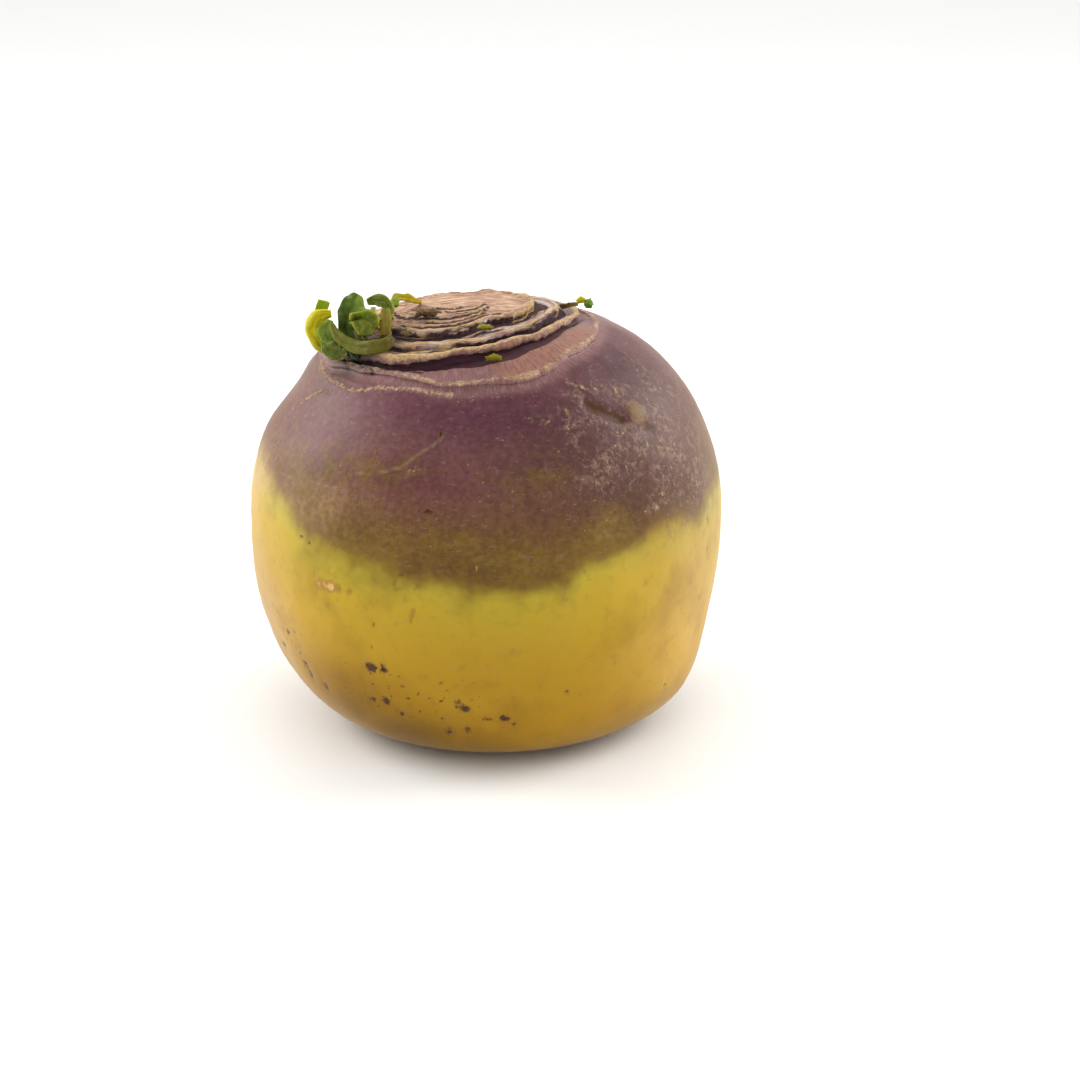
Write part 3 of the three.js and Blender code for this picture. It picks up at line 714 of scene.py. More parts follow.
# %% Masks and layers
def shown(tree, source, follows, cut=None, within=(), start=0.0):
    """A weighted sum of sources, cut from low to high up to the most it shows, and kept within others."""
    total = None
    for name, weight in follows.items():
        links = {0: source[name]} if total is None else {0: source[name], 2: total}
        total = add_node(tree, "ShaderNodeMath", {"operation": "MULTIPLY_ADD", 1: weight, 2: start}, links)
    if cut:
        settings = dict(zip(("From Min", "From Max", "To Max"), cut), interpolation_type="SMOOTHSTEP")
        total = add_node(tree, "ShaderNodeMapRange", settings, {"Value": total})
    for name in within:
        total = add_node(tree, "ShaderNodeMath", {"operation": "MULTIPLY"}, {0: total, 1: source[name]})
    return total


def lay(tree, source, under, over, follows, cut=None, within=(), blend="MIX"):
    """Lay a colour, given as hex or made by nodes, over another one where its mask shows it."""
    settings = {"data_type": "RGBA", "blend_type": blend}
    links = {0: shown(tree, source, follows, cut, within), 6: under}
    if isinstance(over, str):
        settings[7] = linear(over)
    else:
        links[7] = over
    return add_node(tree, "ShaderNodeMix", settings, links)


# %% [markdown]
# ## Waxy skin
# A rutabaga's skin is thin, tight and a little waxy: satin, with a pale sheen where it turns away.
# Roughness near 0.5 and the usual plant-wax IOR of 1.45 give that. The colour is layered the way
# it grew: yellow below, purple above, olive where they mix, then cork, dark recesses and
# blemishes on top. An image texture would be quicker, but it would carry light and shadow with it
# and stretch on the crown.
#
# Noise scales are one over the size of a mark in millimetres. Clouds of colour are 16 mm across,
# mottles 3.4 mm, level streaks 5 mm long, and specks of cork about 0.9 mm, a little coarser than
# the real 0.3 mm so that they still show.

# %% Skin material: coordinates, fields and noises
skin, tree = new_material("waxy_rutabaga_skin")
place = add_node(tree, "ShaderNodeTexCoord", output="Object")
in_mm = add_node(tree, "ShaderNodeVectorMath", {"operation": "SCALE", "Scale": 1 / MM}, {0: place})
level = add_node(tree, "ShaderNodeMapping", {"Scale": (1, 1, 3.0)}, {"Vector": in_mm})
source = {name: add_node(tree, "ShaderNodeAttribute", {"attribute_name": name}, output="Fac")
          for name in fields}
NOISES = {  # size of a mark in mm, detail, roughness, distortion, and whether it is drawn out level
    "clouds": (16, 3.0, 0.55, 0.0, False), "wander": (8, 2.0, 0.55, 0.0, False),
    "blotches": (7, 5.0, 0.6, 0.0, False), "patches": (5.5, 3.0, 0.6, 0.0, False),
    "streaks": (5, 6.0, 0.65, 0.0, True), "mottles": (3.4, 6.0, 0.68, 0.0, False),
    "dull_streaks": (2.4, 5.0, 0.65, 0.0, True), "scabs": (2.0, 5.0, 0.62, 0.3, False),
    "tan_grains": (1.7, 2.0, 0.5, 0.0, False), "fine": (1.5, 4.0, 0.6, 0.0, False),
    "small_spots": (1.5, 2.0, 0.5, 0.0, False), "crumbs": (1.2, 4.0, 0.7, 0.0, False),
    "low_grains": (1.1, 2.0, 0.55, 0.0, False), "specks": (0.9, 3.0, 0.6, 0.0, True),
}
for name, (size_mm, detail, roughness, distortion, drawn_out) in NOISES.items():
    settings = {"Scale": 1 / size_mm, "Detail": detail, "Roughness": roughness, "Distortion": distortion}
    source[name] = add_node(tree, "ShaderNodeTexNoise", settings, {"Vector": level if drawn_out else in_mm})
print("noises:", len(NOISES))

# %% [markdown]
# The distance above the purple line, roughened by two noises, runs through one ramp from the gold
# of the heel to the dull magenta under the crown. The ramp covers 60 mm on either side of the line.
# Its lowest gold is darker, partly the skin's own tone and partly painted shade towards the heel.

# %% Skin material: from gold to purple
RAMP_REACH = 60.0
WANDER, DRIFT = 5.0, 6.0
source["moved"] = shown(tree, source, {"above_line": 1.0, "wander": WANDER, "clouds": DRIFT},
                        start=-(WANDER + DRIFT) / 2)
along_ramp = add_node(tree, "ShaderNodeMapRange", {"From Min": -RAMP_REACH, "From Max": RAMP_REACH},
                      {"Value": source["moved"]})
colour = add_node(tree, "ShaderNodeValToRGB", {"stops": [
    # the lowest stops darken towards the heel, partly as painted shade
    (0.0, "8a6408"), (0.18, "a87e0e"), (0.34, "b4901a"), (0.43, "b69624"), (0.47, "ae9828"), (0.49, "9c8828"),
    (0.506, "846c1c"), (0.525, "6e5018"), (0.6, "6c4a24"), (0.68, "6e4a36"), (0.76, "704a46"),
    (0.84, "6a3c46"), (0.9, "60323e"), (1.0, "663c48")]}, {"Fac": along_ramp})
for name, low, high in (("above", 0.0, 6.0), ("at_line", -2.0, 3.0), ("well_above", -6.0, 20.0),
                        ("below", 0.0, -14.0)):
    source[name] = shown(tree, source, {"moved": 1.0}, (low, high))

# %% Skin material: tints, olive mottles, streaks and russet
source["russet_share"] = shown(tree, source, {"russet": 0.42, "patches": 1.0})
source["russet_ground"] = shown(tree, source, {"russet_share": 1.0}, (0.58, 0.92))
source["crumb_mask"] = shown(tree, source, {"crumbs": 0.9, "russet_share": 0.4}, (0.78, 0.96, 0.4))
SKIN_LAYERS = [  # colour, what it follows with weights, its cut, what it is kept within, its blend
    # 8a6200 is partly painted shadow at the front left
    ("a8941e", {"lime": 0.5}), ("c49c40", {"orange": 0.6}), ("8a6200", {"deep_gold": 0.8}),
    # 644600 is painted shadow low on the front left, and bc9a70 is partly painted rim light on the left
    ("a48440", {"tan_gold": 0.6}), ("644600", {"soot": 0.85}), ("bc9a70", {"bleached": 0.6}),
    ("5e4030", {"umber": 0.35}, None, ["above"]), ("6e3846", {"mauve": 0.75}, None, ["above"]),
    ("54283a", {"maroon": 0.75}), ("4c282a", {"plum": 0.7}, None, ["above"]),
    ("745a18", {"olive": 0.36, "mottles": 1.0}, (0.56, 0.9, 0.8), ["at_line"]),
    ("8a6c40", {"olive": 0.2, "streaks": 1.0}, (0.6, 0.9, 0.4), ["above"]),
    ("b8a294", {"clouds": 1.0}, (0.46, 0.7, 0.35), [], "MULTIPLY"),
    ("b8a498", {"fine": 1.0}, (0.36, 0.66, 0.5), ["above"], "MULTIPLY"),
    ("a08078", {"dull_streaks": 1.0}, (0.58, 0.74, 0.32), ["above"]),
    ("4c2c28", {"russet": 0.5, "mottles": 1.0}, (0.5, 1.0, 0.6)),
    ("4c302c", {"scabs": 1.0}, (0.5, 0.38, 0.5), ["russet_ground"]),
    ("6c5832", {"mottles": 1.0}, (0.54, 0.68, 0.5), ["russet_ground"]),
    ("8e7264", {"scabs": 1.0}, (0.48, 0.62, 0.5), ["russet_ground"]),
    ("a0846e", {"crumb_mask": 1.0}),
    ("ae8c66", {"russet_share": 0.2, "tan_grains": 1.0}, (0.8, 0.9, 0.6), ["above"]),
    ("b0907a", {"specks": 1.0}, (0.69, 0.76, 0.5), ["well_above"]),
    ("8a5f1c", {"low_grains": 1.0}, (0.7, 0.78, 0.4), ["below"]),
]
for layer in SKIN_LAYERS:
    colour = lay(tree, source, colour, *layer)
print("skin layers:", len(SKIN_LAYERS))

# %% [markdown]
# On the crown the skin is gone. What shows is dry, layered leaf-base tissue, cream to tan with
# grey, in thin lines that follow the lips: a noise squeezed to 0.9 mm across the layers and drawn
# out to 7 mm along them. On the cap the layers lie across. Outside the largest lip they are still
# purple and finely ribbed, with ribs 0.5 mm apart.

# %% Skin material: the crown's layers and ribs
LAYER_SIZE, LAYER_WAVER, RIB_SIZE = (0.9, 7), 0.14, (2.4, 0.5)
layers_at = add_node(tree, "ShaderNodeCombineXYZ", {}, {
    "X": shown(tree, source, {"layer_depth": 1 / LAYER_SIZE[0]}),
    "Y": shown(tree, source, {"layer_way": 1 / LAYER_SIZE[1]})})
slow = add_node(tree, "ShaderNodeVectorMath", {"operation": "SCALE", "Scale": LAYER_WAVER}, {0: in_mm})
layers_at = add_node(tree, "ShaderNodeVectorMath", {"operation": "ADD"}, {0: layers_at, 1: slow})
lip_layers = add_node(tree, "ShaderNodeTexNoise", {"Scale": 1.0, "Detail": 4.0, "Roughness": 0.65},
                      {"Vector": layers_at})
across_cap = add_node(tree, "ShaderNodeMapping", {"Scale": (1 / 7, 1 / 1.1, 1 / 3)}, {"Vector": in_mm})
cap_noise = {"Scale": 1.0, "Detail": 5.0, "Roughness": 0.7, "Distortion": 0.4}
cap_layers = add_node(tree, "ShaderNodeTexNoise", cap_noise, {"Vector": across_cap})
source["layers"] = add_node(tree, "ShaderNodeMix", {}, {0: source["cap"], 2: lip_layers, 3: cap_layers})
ribs_at = add_node(tree, "ShaderNodeCombineXYZ", {}, {
    "X": shown(tree, source, {"layer_depth": 1 / RIB_SIZE[0]}),
    "Y": shown(tree, source, {"layer_way": 1 / RIB_SIZE[1]})})
source["ribs"] = add_node(tree, "ShaderNodeTexNoise", {"Scale": 1.0, "Detail": 3.0, "Roughness": 0.6},
                          {"Vector": ribs_at})
source["cork_noise"] = add_node(tree, "ShaderNodeMix", {}, {0: source["treads"], 2: source["crumbs"],
                                                            3: source["layers"]})
source["cork_mask"] = shown(tree, source, {"cork": 0.75, "cork_noise": 1.0}, (0.9, 1.2, 0.85))

# %% Skin material: tones of the crown
TONES = {  # what it follows, then its stops
    "tread_tissue": ("layers", [
        (0.32, "4a2c28"), (0.42, "84604c"), (0.5, "ac8a74"), (0.57, "c8a88e"), (0.68, "e2c8a0")]),
    "grey_tissue": ("layers", [(0.3, "5e4844"), (0.45, "a08a84"), (0.58, "c6b4ac"), (0.7, "e0d4c8")]),
    "cap_tissue": ("layers", [
        (0.3, "54342c"), (0.41, "8c6450"), (0.5, "b48e74"), (0.58, "d0a88a"), (0.7, "e8c6a2")]),
    "band_tissue": ("ribs", [(0.34, "74504f"), (0.5, "805a58"), (0.66, "90706a")]),
    # painted shade for the recesses under the lips, darker than the purple skin there
    "recess": ("layers", [(0.35, "1c0610"), (0.65, "3c1424")]),
    "skin_cork": ("specks", [(0.35, "94745a"), (0.65, "ccac84")]),
    "tread_cork": ("specks", [(0.35, "a07c4c"), (0.65, "d8b67c")]),
    "blemish": ("specks", [(0.38, "1a0e06"), (0.62, "5a381a")]),
}
tone = {name: add_node(tree, "ShaderNodeValToRGB", {"stops": stops}, {"Fac": source[follows]})
        for name, (follows, stops) in TONES.items()}
tissue = tone["tread_tissue"]
for layer in [
        (tone["grey_tissue"], {"blotches": 1.0}, (0.42, 0.6)),
        (tone["cap_tissue"], {"cap": 1.0}),
        ("7e5644", {"blotches": 1.0}, (0.5, 0.66, 0.55), ["cap"]), ("785668", {"lilac": 0.8}),
        ("cfc0b8", {"layers": 1.0}, (0.4, 0.6, 0.9), ["pale_tread"]),
        ("503424", {"fine": 1.0}, (0.6, 0.42, 0.95), ["debris"])]:
    tissue = lay(tree, source, tissue, *layer)
cork_tone = lay(tree, source, tone["skin_cork"], tone["tread_cork"], {"treads": 1.0})

# %% Skin material: the crown, the corky lips and the marks
CROWN_LAYERS = [
    (tissue, {"treads": 1.0}), (tone["band_tissue"], {"band": 0.85}),
    ("98684c", {"ribs": 1.0}, (0.3, 0.65, 0.75), ["pad"]),
    # the recess layer is painted shade, and the last one is painted shadow under the tuft
    (tone["recess"], {"fine": 0.5, "gap": 1.0}, (0.6, 1.05, 0.95)),
    (cork_tone, {"cork_mask": 1.0}), ("1c120c", {"tuft_shade": 0.85}),
]
MARK_LAYERS = [
    ("94805a", {"fine": 0.5, "scratches": 1.0}, (0.7, 1.25, 0.42)),
    ("7c5420", {"fine": 0.8, "cracks": 1.0}, (0.72, 1.25, 0.5)),
    ("9a6c30", {"fine": 0.9, "wound": 1.0}, (0.62, 0.9, 0.6)),
    ("dcae78", {"fine": 0.9, "wound": 1.0}, (0.95, 1.3, 0.7)),
    ("4a3014", {"specked": 0.16, "small_spots": 1.0}, (0.76, 0.83, 0.85)),
    ("8a5c28", {"fine": 0.6, "blemish": 1.0}, (0.5, 0.95, 0.35)),
    (tone["blemish"], {"crumbs": 1.3, "blemish": 1.0}, (1.02, 1.3, 0.97)),
    ("4a2a12", {"crumbs": 0.9, "gouge": 1.0}, (0.66, 1.1, 0.94)),
    ("78592e", {"scabs": 0.9, "olive_scab": 1.0}, (0.8, 1.2, 0.75)),
    ("4c3238", {"dimple": 0.75}), ("8a6a45", {"taproot_scar": 1.0}),
]
for layer in CROWN_LAYERS + MARK_LAYERS:
    colour = lay(tree, source, colour, *layer)
print("crown and mark layers:", len(CROWN_LAYERS) + len(MARK_LAYERS))

# %% Skin material: shine and relief
source["dry"] = source["treads"]
for name in ("cork_mask", "crumb_mask"):
    source["dry"] = add_node(tree, "ShaderNodeMath", {"operation": "MAXIMUM"},
                             {0: source["dry"], 1: source[name]})
roughness = add_node(tree, "ShaderNodeMapRange", {"To Min": 0.48, "To Max": 0.85}, {"Value": source["dry"]})
for name, height_of, share, within in (
        ("tread_relief", "layers", 1.0, "treads"), ("cork_relief", "specks", 1.0, "dry"),
        ("band_relief", "ribs", 0.12, "band")):
    source[name] = shown(tree, source, {height_of: share}, None, [within])
height = shown(tree, source, {"mottles": 0.1, "streaks": 0.14, "tread_relief": 1.0, "cork_relief": 1.0,
                              "band_relief": 1.0})
bump = add_node(tree, "ShaderNodeBump", {"Strength": 0.7, "Distance": 0.0007}, {"Height": height})
shader = add_node(tree, "ShaderNodeBsdfPrincipled",
                  {"IOR": 1.45, "Specular IOR Level": 0.22, "Sheen Weight": 0.2, "Sheen Roughness": 0.35,
                   "Sheen Tint": linear("f4e4d0")},
                  {"Base Color": colour, "Roughness": roughness, "Normal": bump})
add_node(tree, "ShaderNodeOutputMaterial", {}, {"Surface": shader})
root.data.materials.append(skin)
print("skin nodes:", len(tree.nodes))

# %% [markdown]
# ## Young leaves
# The tuft is a dozen thick, crumpled young leaves. Each is a section swept along a line: a flat
# card would show its thin edge at once, so the section has real thickness, a midrib, a fold along
# it and a ruffled margin. The lines are given as shares of the solid's own box, so that a leaf
# always sits where its solid does.


# %% Leaf geometry
def through(points, count):
    """Points on a smooth line through a few given ones."""
    points = np.asarray(points, dtype=float)
    padded = np.vstack([2 * points[0] - points[1], points, 2 * points[-1] - points[-2]])
    spans = np.linspace(0, len(points) - 1, count)
    made = []
    for span in spans:
        index = min(int(span), len(points) - 2)
        t = span - index
        before, here, after, beyond = padded[index:index + 4]
        made.append(0.5 * (2 * here + (after - before) * t
                           + (2 * before - 5 * here + 4 * after - beyond) * t ** 2
                           + (3 * here - 3 * after + beyond - before) * t ** 3))
    return np.array(made)


LEAF_STEPS = 64
LEAF_COLUMNS = 17
CRUMPLE_SIZE = 1.7
noise.seed_set(3)  # without it, the vector noise is shifted anew each time Blender starts


def leaf(node, line, widths, thickness, facing, seed, fold=0.0, cup=0.0, ruffle=0.0, waves=3, crumple=0.16):
    low, high = box_mm(node)
    centres = low + through(line, LEAF_STEPS) * (high - low)
    half_widths = np.maximum(through([(width, 0) for width in widths], LEAF_STEPS)[:, 0], 0.1) / 2
    along = np.gradient(centres, axis=0)
    along /= np.linalg.norm(along, axis=1, keepdims=True)
    upper = np.asarray(facing, dtype=float) / np.linalg.norm(facing)
    up = upper - along * (along @ upper)[:, None]
    up /= np.linalg.norm(up, axis=1, keepdims=True)
    side = np.cross(up, along)
    across = np.linspace(-1, 1, LEAF_COLUMNS)
    travelled = np.linspace(0, 1, LEAF_STEPS)
    rings_made, across_rows, along_rows = [], [], []
    for step in range(LEAF_STEPS):
        growth_here = smooth_step(0, 0.25, travelled[step])
        wave = np.sin(2 * math.pi * waves * travelled[step] + 2.1 * np.sign(across) + seed)
        bumps = np.array([noise.noise(Vector((3.1 * u, 7 * travelled[step], seed))) for u in across])
        lobes = np.array([noise.noise(Vector((5 * travelled[step], np.sign(u) * 4.0, seed + 7)))
                          for u in across])
        raise_mm = (fold * np.abs(across) + cup * across ** 2) * half_widths[step]
        raise_mm += growth_here * ruffle * (across ** 2 * wave + 0.8 * bumps)
        fullness = 0.75 + 0.25 * half_widths[step] / half_widths.max()
        body_mm = thickness / 2 * (1 - 0.8 * across ** 4) * fullness
        rib_mm = 0.35 * thickness * np.exp(-(across / 0.16) ** 2)
        upper_side = raise_mm + body_mm - 0.4 * rib_mm
        under_side = (raise_mm - body_mm - rib_mm)[::-1][1:-1]
        offsets = np.concatenate([upper_side, under_side])
        wide = across * half_widths[step] * (1 + 0.3 * growth_here * lobes)
        places = np.concatenate([wide, wide[::-1][1:-1]])
        rings_made.append(centres[step] + side[step] * places[:, None] + up[step] * offsets[:, None])
        across_rows.append(np.concatenate([across, across[::-1][1:-1]]))
        along_rows.append(np.full(len(places), travelled[step]))
    points = np.array(rings_made)[:, ::-1]
    shake = np.array([noise.noise_vector(Vector(point) / CRUMPLE_SIZE + Vector((seed, 0, 0)))
                      for point in points.reshape(-1, 3)]).reshape(points.shape)
    points = points + crumple * shake
    sides = np.array(across_rows)[:, ::-1]
    marks = {"edge": np.abs(sides), "along": np.array(along_rows), "half": 0.5 + 0.5 * sides}
    piece = ring_mesh(f"{node}_grown", points, marks)
    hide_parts(node)
    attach(piece, "root")
    return piece


# %% [markdown]
# ## The tuft, leaf by leaf
# One row of the table grows one leaf. Fold bends it along its midrib, cup hollows it and ruffle
# waves its margin. The order is from the back of the tuft to the front, then the small sprout.

# %% Grow the tuft
LEAVES = {  # node: its line, widths and thickness in mm, the way it faces, its seed, and how it bends
    "left_leaf_tab": (
        [(0.97, 0.16, 0.08), (0.64, 0.47, 0.12), (0.34, 0.69, 0.27), (0.2, 0.8, 0.57),
         (0.29, 0.86, 0.97)],
        [1.8, 2.4, 3.0, 3.5, 3.2], 0.9, (-0.2, -1, 0.3), 1.0, {"cup": 0.25, "ruffle": 0.2}),
    "yellow_curled_leaf": (
        [(0.93, 0.1, 0.23), (0.71, 0.28, 0.15), (0.47, 0.48, 0.18), (0.31, 0.51, 0.37),
         (0.21, 0.63, 0.59), (0.33, 0.77, 0.79), (0.53, 0.84, 0.88), (0.74, 0.87, 0.9)],
        [2.0, 2.9, 3.7, 4.2, 4.5, 4.1, 3.4, 1.9], 1.6, (0, -1, 0.2), 2.0, {"cup": -0.35, "ruffle": 0.35}),
    "pale_inner_leaf": (
        [(0.99, 0.18, 0.2), (0.63, 0.24, 0.19), (0.36, 0.48, 0.3), (0.26, 0.62, 0.59),
         (0.41, 0.85, 0.94)],
        [2.0, 3.0, 3.8, 4.0, 1.8], 1.2, (0, -1, 0.1), 3.0, {"cup": 0.3, "ruffle": 0.35}),
    "tall_leaf_blade": (
        [(0.49, 0.2, 0.02), (0.32, 0.37, 0.2), (0.3, 0.44, 0.41), (0.43, 0.58, 0.6), (0.58, 0.79, 0.78),
         (0.72, 0.94, 0.94)],
        [2.4, 3.8, 5.4, 6.6, 6.3, 2.4], 0.9, (0.35, -1, 0.2), 4.0, {"fold": 0.5, "ruffle": 0.4}),
    "arched_leaf": (
        [(0.87, 0.07, 0.09), (0.85, 0.45, 0.21), (0.82, 0.7, 0.47), (0.64, 0.75, 0.73), (0.34, 0.8, 0.79),
         (0.02, 0.84, 0.71)],
        [1.9, 2.3, 2.8, 3.1, 3.0, 1.5], 1.3, (0, -1, 0.2), 5.0, {"fold": 0.2, "ruffle": 0.35}),
    "mustard_leaf_stalk": (
        [(0.51, 0.04, 0.06), (0.53, 0.3, 0.31), (0.5, 0.6, 0.6), (0.42, 0.96, 0.93)],
        [3.0, 3.1, 2.9, 2.4], 1.9, (0, -1, 0.1), 6.0, {"cup": 0.1, "ruffle": 0.05}),
    "thin_leaf_stalk": (
        [(0.4, 0.13, 0.05), (0.5, 0.31, 0.28), (0.5, 0.62, 0.59), (0.55, 0.87, 0.96)],
        [1.6, 1.9, 2.1, 1.3], 1.0, (0, -1, 0), 7.0, {}),
    "rolled_leaf": (
        [(0.54, 0.33, 0.09), (0.51, 0.62, 0.2), (0.48, 0.89, 0.4), (0.49, 0.89, 0.64), (0.51, 0.62, 0.79),
         (0.52, 0.34, 0.69), (0.51, 0.16, 0.49), (0.48, 0.08, 0.31)],
        [2.2, 4.0, 6.0, 7.4, 7.6, 7.2, 5.8, 3.0], 1.0, (0, 1, 0.6), 8.0, {"ruffle": 0.55, "waves": 4}),
    "front_leaf_stalk": (
        [(0.95, 0.29, 0.61), (0.85, 0.1, 0.44), (0.66, 0.14, 0.29), (0.43, 0.38, 0.24),
         (0.23, 0.59, 0.37), (0.11, 0.77, 0.61), (0.04, 0.94, 0.9)],
        [2.4, 3.3, 3.5, 3.4, 3.0, 2.4, 1.4], 1.8, (0, -1, 0.3), 9.0, {"cup": 0.15, "ruffle": 0.18}),
    "folded_leaf": (
        [(0.96, 0.15, 0.45), (0.66, 0.41, 0.34), (0.33, 0.62, 0.52), (0.1, 0.9, 0.8)],
        [2.6, 4.0, 4.2, 1.9], 1.3, (0, -1, 0.3), 10.0, {"fold": 0.35, "ruffle": 0.4}),
    "hanging_leaf_tip": (
        [(0.42, 0.88, 0.86), (0.55, 0.47, 0.52), (0.78, 0.13, 0.11)],
        [2.1, 2.4, 0.8], 0.9, (0, -1, 0.6), 11.0, {"fold": 0.2}),
    "crown_leaf_strip": (
        [(0.17, 0.04, 0.14), (0.14, 0.36, 0.48), (0.24, 0.78, 0.64), (0.45, 0.84, 0.56),
         (0.71, 0.75, 0.39), (0.97, 0.52, 0.27)],
        [1.8, 2.6, 3.0, 2.8, 2.2, 0.9], 0.8, (0, -0.6, 1), 12.0, {"fold": 0.25, "ruffle": 0.25}),
    "right_sprout_stem": (
        [(0.02, 0.3, 0.34), (0.51, 0.46, 0.59), (0.99, 0.7, 0.77)],
        [1.5, 1.3, 1.1], 1.0, (0, -1, 0), 13.0, {"crumple": 0.08}),
    "right_sprout_tip": (
        [(0.64, 0.38, 0.06), (0.49, 0.5, 0.54), (0.42, 0.62, 0.97)],
        [1.8, 2.6, 0.8], 0.9, (0, -1, 0), 14.0, {"fold": 0.3, "crumple": 0.08}),
}
leaves = {}
for node, (line, widths, thickness, facing, seed, bends) in LEAVES.items():
    leaves[node] = leaf(node, line, widths, thickness, facing, seed, **bends)
print("leaves:", len(leaves))


# %% [markdown]
# ## Buds and the withered stub
# A bud is a few tight scales, and the stub is a dried, crumpled leaf base. Both are small lumps
# made from the same rings as the rest, wrinkled by noise until no smooth egg is left.

# %% Buds
def lump(node, wrinkle, seed, rows=22, around=36):
    low, high = box_mm(node)
    middle, half = (low + high) / 2, (high - low) / 2
    tilt = math.pi * np.arange(1, rows) / rows
    turn_here = 2 * math.pi * np.arange(around) / around
    shape = np.stack([np.outer(np.sin(tilt), np.cos(turn_here)), np.outer(np.sin(tilt), np.sin(turn_here)),
                      np.outer(-np.cos(tilt), np.ones(around))], axis=2)
    crinkle = np.array([noise.noise(Vector(p) * 2.6 + Vector((seed, 0, 0)))
                        + 0.5 * noise.noise(Vector(p) * 6 + Vector((0, seed, 0)))
                        for p in shape.reshape(-1, 3)]).reshape(shape.shape[:2])
    points = middle + shape * half * (1 + wrinkle * crinkle)[..., None]
    marks = {"edge": np.abs(crinkle), "along": 0.5 + shape[..., 2] / 2, "half": 0.5 + shape[..., 0] / 2}
    piece = ring_mesh(f"{node}_grown", points, marks)
    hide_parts(node)
    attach(piece, "root")
    return piece


buds = {node: lump(node, wrinkle, seed) for node, wrinkle, seed in (
    ("right_sprout_bud", 0.35, 1.0), ("front_bud", 0.5, 2.0), ("terrace_bud", 0.5, 3.0),
    ("withered_leaf_stub", 0.75, 4.0))}
print("buds:", len(buds))

# %% [markdown]
# ## Leaf tissue
# Young brassica leaves are thick, smooth and faintly waxed, with pale veins and a yellowing
# margin. All of them share one recipe with their own greens: base to tip along the leaf, a paler
# margin, and veins about 0.8 mm apart. The tall blade also has painted shade on one side of its
# midrib, where its fold would shade it.
# Light passes through them a little, which a small share of subsurface scattering gives.


# %% Leaf material
def leaf_tissue(name, base, middle, tip, margin, roughness, shaded):
    material, tree = new_material(name)
    place = add_node(tree, "ShaderNodeTexCoord", output="Object")
    in_mm = add_node(tree, "ShaderNodeVectorMath", {"operation": "SCALE", "Scale": 1 / MM}, {0: place})
    edge, along, half = (add_node(tree, "ShaderNodeAttribute", {"attribute_name": mark}, output="Fac")
                         for mark in ("edge", "along", "half"))
    mottle = add_node(tree, "ShaderNodeTexNoise", {"Scale": 1 / 2.2, "Detail": 4.0}, {"Vector": in_mm})
    veins = add_node(tree, "ShaderNodeTexNoise", {"Scale": 1 / 0.8, "Detail": 3.0, "Distortion": 0.6},
                     {"Vector": in_mm})
    shifted = shown(tree, {"mottle": mottle, "along": along}, {"mottle": 0.9, "along": 1.0}, start=-0.45)
    colour = add_node(tree, "ShaderNodeValToRGB", {"stops": [(0.1, base), (0.5, middle), (0.9, tip)]},
                      {"Fac": shifted})
    # The last layer is painted shade over one half of the leaf, as from its fold.
    for value, low, high, most, over, blend in (
            (edge, 0.7, 1.0, 0.5, margin, "MIX"), (veins, 0.52, 0.66, 0.25, margin, "MIX"),
            (half, 0.42, 0.56, shaded, "7a8466", "MULTIPLY")):
        mask = add_node(tree, "ShaderNodeMapRange", {"From Min": low, "From Max": high, "To Max": most},
                        {"Value": value})
        colour = add_node(tree, "ShaderNodeMix", {"data_type": "RGBA", "blend_type": blend, 7: linear(over)},
                          {0: mask, 6: colour})
    bump = add_node(tree, "ShaderNodeBump", {"Strength": 0.5, "Distance": 0.0003}, {"Height": veins})
    shader = add_node(tree, "ShaderNodeBsdfPrincipled",
                      {"IOR": 1.42, "Specular IOR Level": 0.18, "Roughness": roughness,
                       "Subsurface Weight": 0.12, "Subsurface Radius": (0.0006, 0.0009, 0.0003),
                       "Subsurface Scale": 1.0},
                      {"Base Color": colour, "Normal": bump})
    add_node(tree, "ShaderNodeOutputMaterial", {}, {"Surface": shader})
    return material


# %% Leaf colours
LEAF_FINISH = {  # node: slot, base, middle, tip, margin
    "left_leaf_tab": ("young_leaf", "5e6e0c", "768708", "82960a", "9aa424"),
    "yellow_curled_leaf": ("yellowing_leaf", "747a12", "a89c08", "bcae10", "d2c030"),
    "pale_inner_leaf": ("young_leaf", "666f1e", "647a2a", "798a32", "949c46"),
    "tall_leaf_blade": ("dark_leaf", "4c5e24", "5e7228", "82983a", "8c9c44"),
    "arched_leaf": ("dark_leaf", "7c7a1c", "6c7a2a", "687430", "8a8f40"),
    "mustard_leaf_stalk": ("yellowing_leaf", "5a4a02", "6c5c04", "72660c", "80721c"),
    "thin_leaf_stalk": ("yellowing_leaf", "8c8834", "a49c4c", "bcb070", "c4bc84"),
    "rolled_leaf": ("dark_leaf", "4e581c", "4e5f1c", "5c661c", "b4a830"),
    "front_leaf_stalk": ("leaf_stalk", "544a10", "5c5a18", "62661c", "70702a"),
    "folded_leaf": ("leaf_stalk", "4a4c10", "50581c", "62702a", "7a8034"),
    "hanging_leaf_tip": ("dark_leaf", "22301a", "26381f", "2a3e24", "3e5038"),
    "crown_leaf_strip": ("yellowing_leaf", "62781a", "9c8c0e", "a88c12", "b8a428"),
    "right_sprout_stem": ("withered_leaf", "4a3620", "5a4226", "8a7a2c", "7a6436"),
    "right_sprout_tip": ("yellowing_leaf", "8c8a10", "b8a810", "c8b828", "d0c440"),
    "right_sprout_bud": ("young_leaf", "466a12", "587c1c", "70903a", "8ca850"),
    "front_bud": ("leaf_bud", "4c420c", "6c5e10", "827618", "8c802c"),
    "terrace_bud": ("leaf_bud", "60541c", "7e7222", "90822c", "9c9044"),
    "withered_leaf_stub": ("withered_leaf", "3e2c20", "5c4630", "7a6248", "98805c"),
}
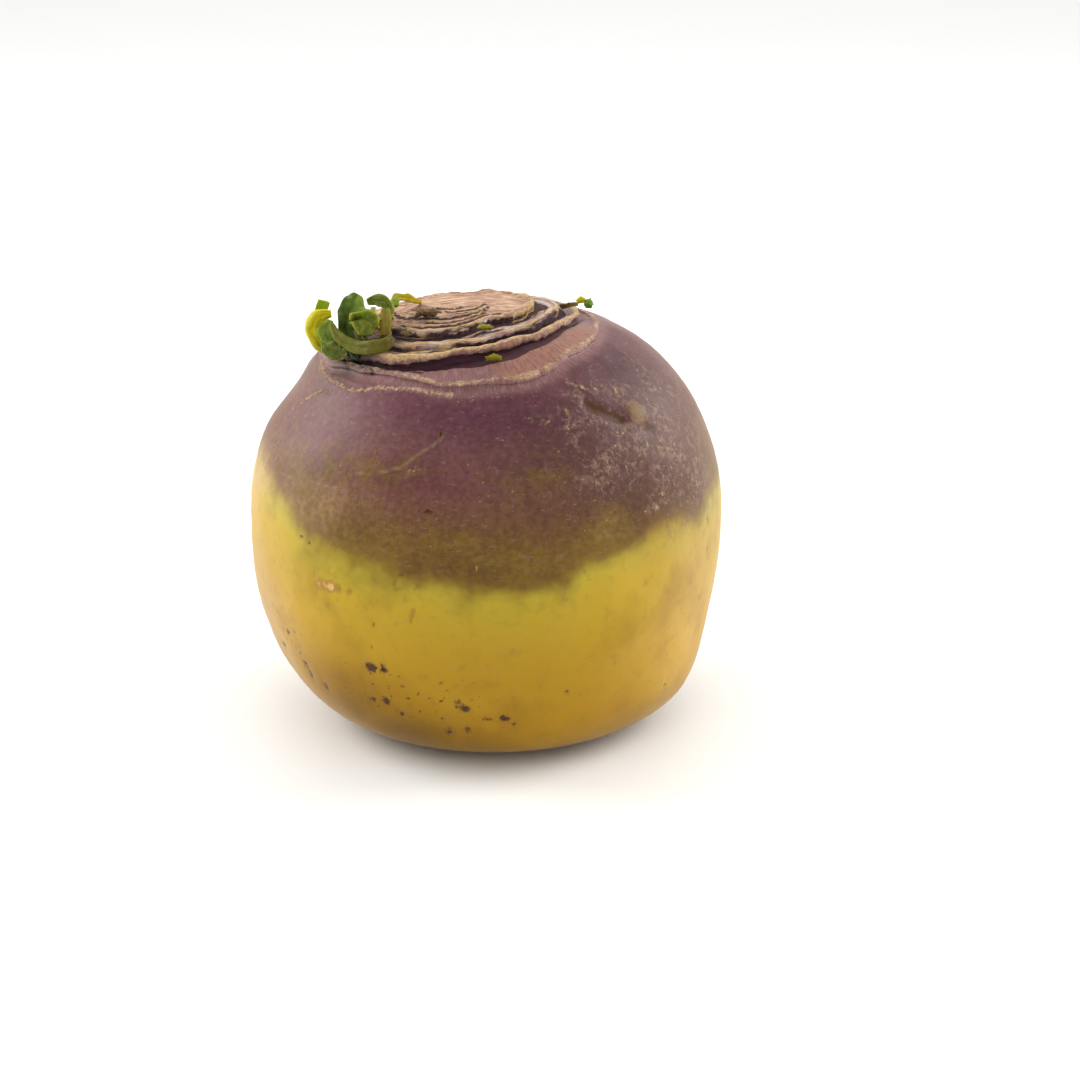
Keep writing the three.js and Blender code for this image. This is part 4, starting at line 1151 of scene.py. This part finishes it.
for node, (slot, base, middle, tip, margin) in LEAF_FINISH.items():
    piece = leaves.get(node) or buds[node]
    roughness = 0.85 if slot == "withered_leaf" else 0.45
    # painted shade on one half of the tall blade
    shaded = 0.65 if node == "tall_leaf_blade" else 0.0
    finish = leaf_tissue(f"leaf_tissue_{node}", base, middle, tip, margin, roughness, shaded)
    piece.data.materials.append(finish)
print("leaf materials:", len(LEAF_FINISH))

# %% [markdown]
# ## Floor, light and camera
# The floor is a plain pale sheet. Two big soft lights from the sides and slightly behind give the
# pale sheen along the root's edges, a soft one above opens the crown, and an even pale sky fills
# the front. The camera stands where a seated person's eye would be, 18 degrees above the root.

# %% Floor
FLOOR_REACH = 3.0
floor_mesh = bpy.data.meshes.new("floor")
corners = [(FLOOR_REACH * across, FLOOR_REACH * ahead, 0)
           for across, ahead in ((-1, -1), (1, -1), (1, 1), (-1, 1))]
floor_mesh.from_pydata(corners, [], [(0, 1, 2, 3)])
floor = bpy.data.objects.new("floor", floor_mesh)
bpy.context.scene.collection.objects.link(floor)
paper, paper_tree = new_material("pale_floor")
shader = add_node(paper_tree, "ShaderNodeBsdfPrincipled", {"Base Color": linear("f2f2f0"), "Roughness": 0.5})
add_node(paper_tree, "ShaderNodeOutputMaterial", {}, {"Surface": shader})
floor_mesh.materials.append(paper)

# %% Light
SKY_STRENGTH = 1.0
world = bpy.data.worlds.new("pale_sky")
world.use_nodes = True
bpy.context.scene.world = world
world.node_tree.nodes["Background"].inputs["Color"].default_value = linear("ffffff")
world.node_tree.nodes["Background"].inputs["Strength"].default_value = SKY_STRENGTH


def soft_light(name, position, target, size, power):
    lamp = bpy.data.lights.new(name, "AREA")
    lamp.shape = "DISK"
    lamp.size = size
    lamp.energy = power
    holder = bpy.data.objects.new(name, lamp)
    holder.location = position
    aim = Vector(target) - Vector(position)
    holder.rotation_euler = aim.to_track_quat("-Z", "Y").to_euler()
    bpy.context.scene.collection.objects.link(holder)


middle = (0, 0, WIDEST_HEIGHT * MM)
soft_light("left_light", (-0.76, 0.28, 0.42), middle, 0.6, 6.3)
soft_light("right_light", (0.76, 0.28, 0.42), middle, 0.6, 6.1)
soft_light("top_light", (0, 0.3, 1.0), middle, 0.7, 0.4)

# %% Camera
ELEVATION = math.radians(18)
DISTANCE = 0.8
AIM = Vector((0.0144, 0, 0.0451))
camera_data = bpy.data.cameras.new("camera")
camera_data.lens = 100
camera_data.sensor_width = 36
camera = bpy.data.objects.new("camera", camera_data)
camera.location = AIM + DISTANCE * Vector((0, -math.cos(ELEVATION), math.sin(ELEVATION)))
camera.rotation_euler = (math.pi / 2 - ELEVATION, 0, 0)
bpy.context.scene.collection.objects.link(camera)
bpy.context.scene.camera = camera
bpy.context.scene.view_settings.view_transform = "Standard"
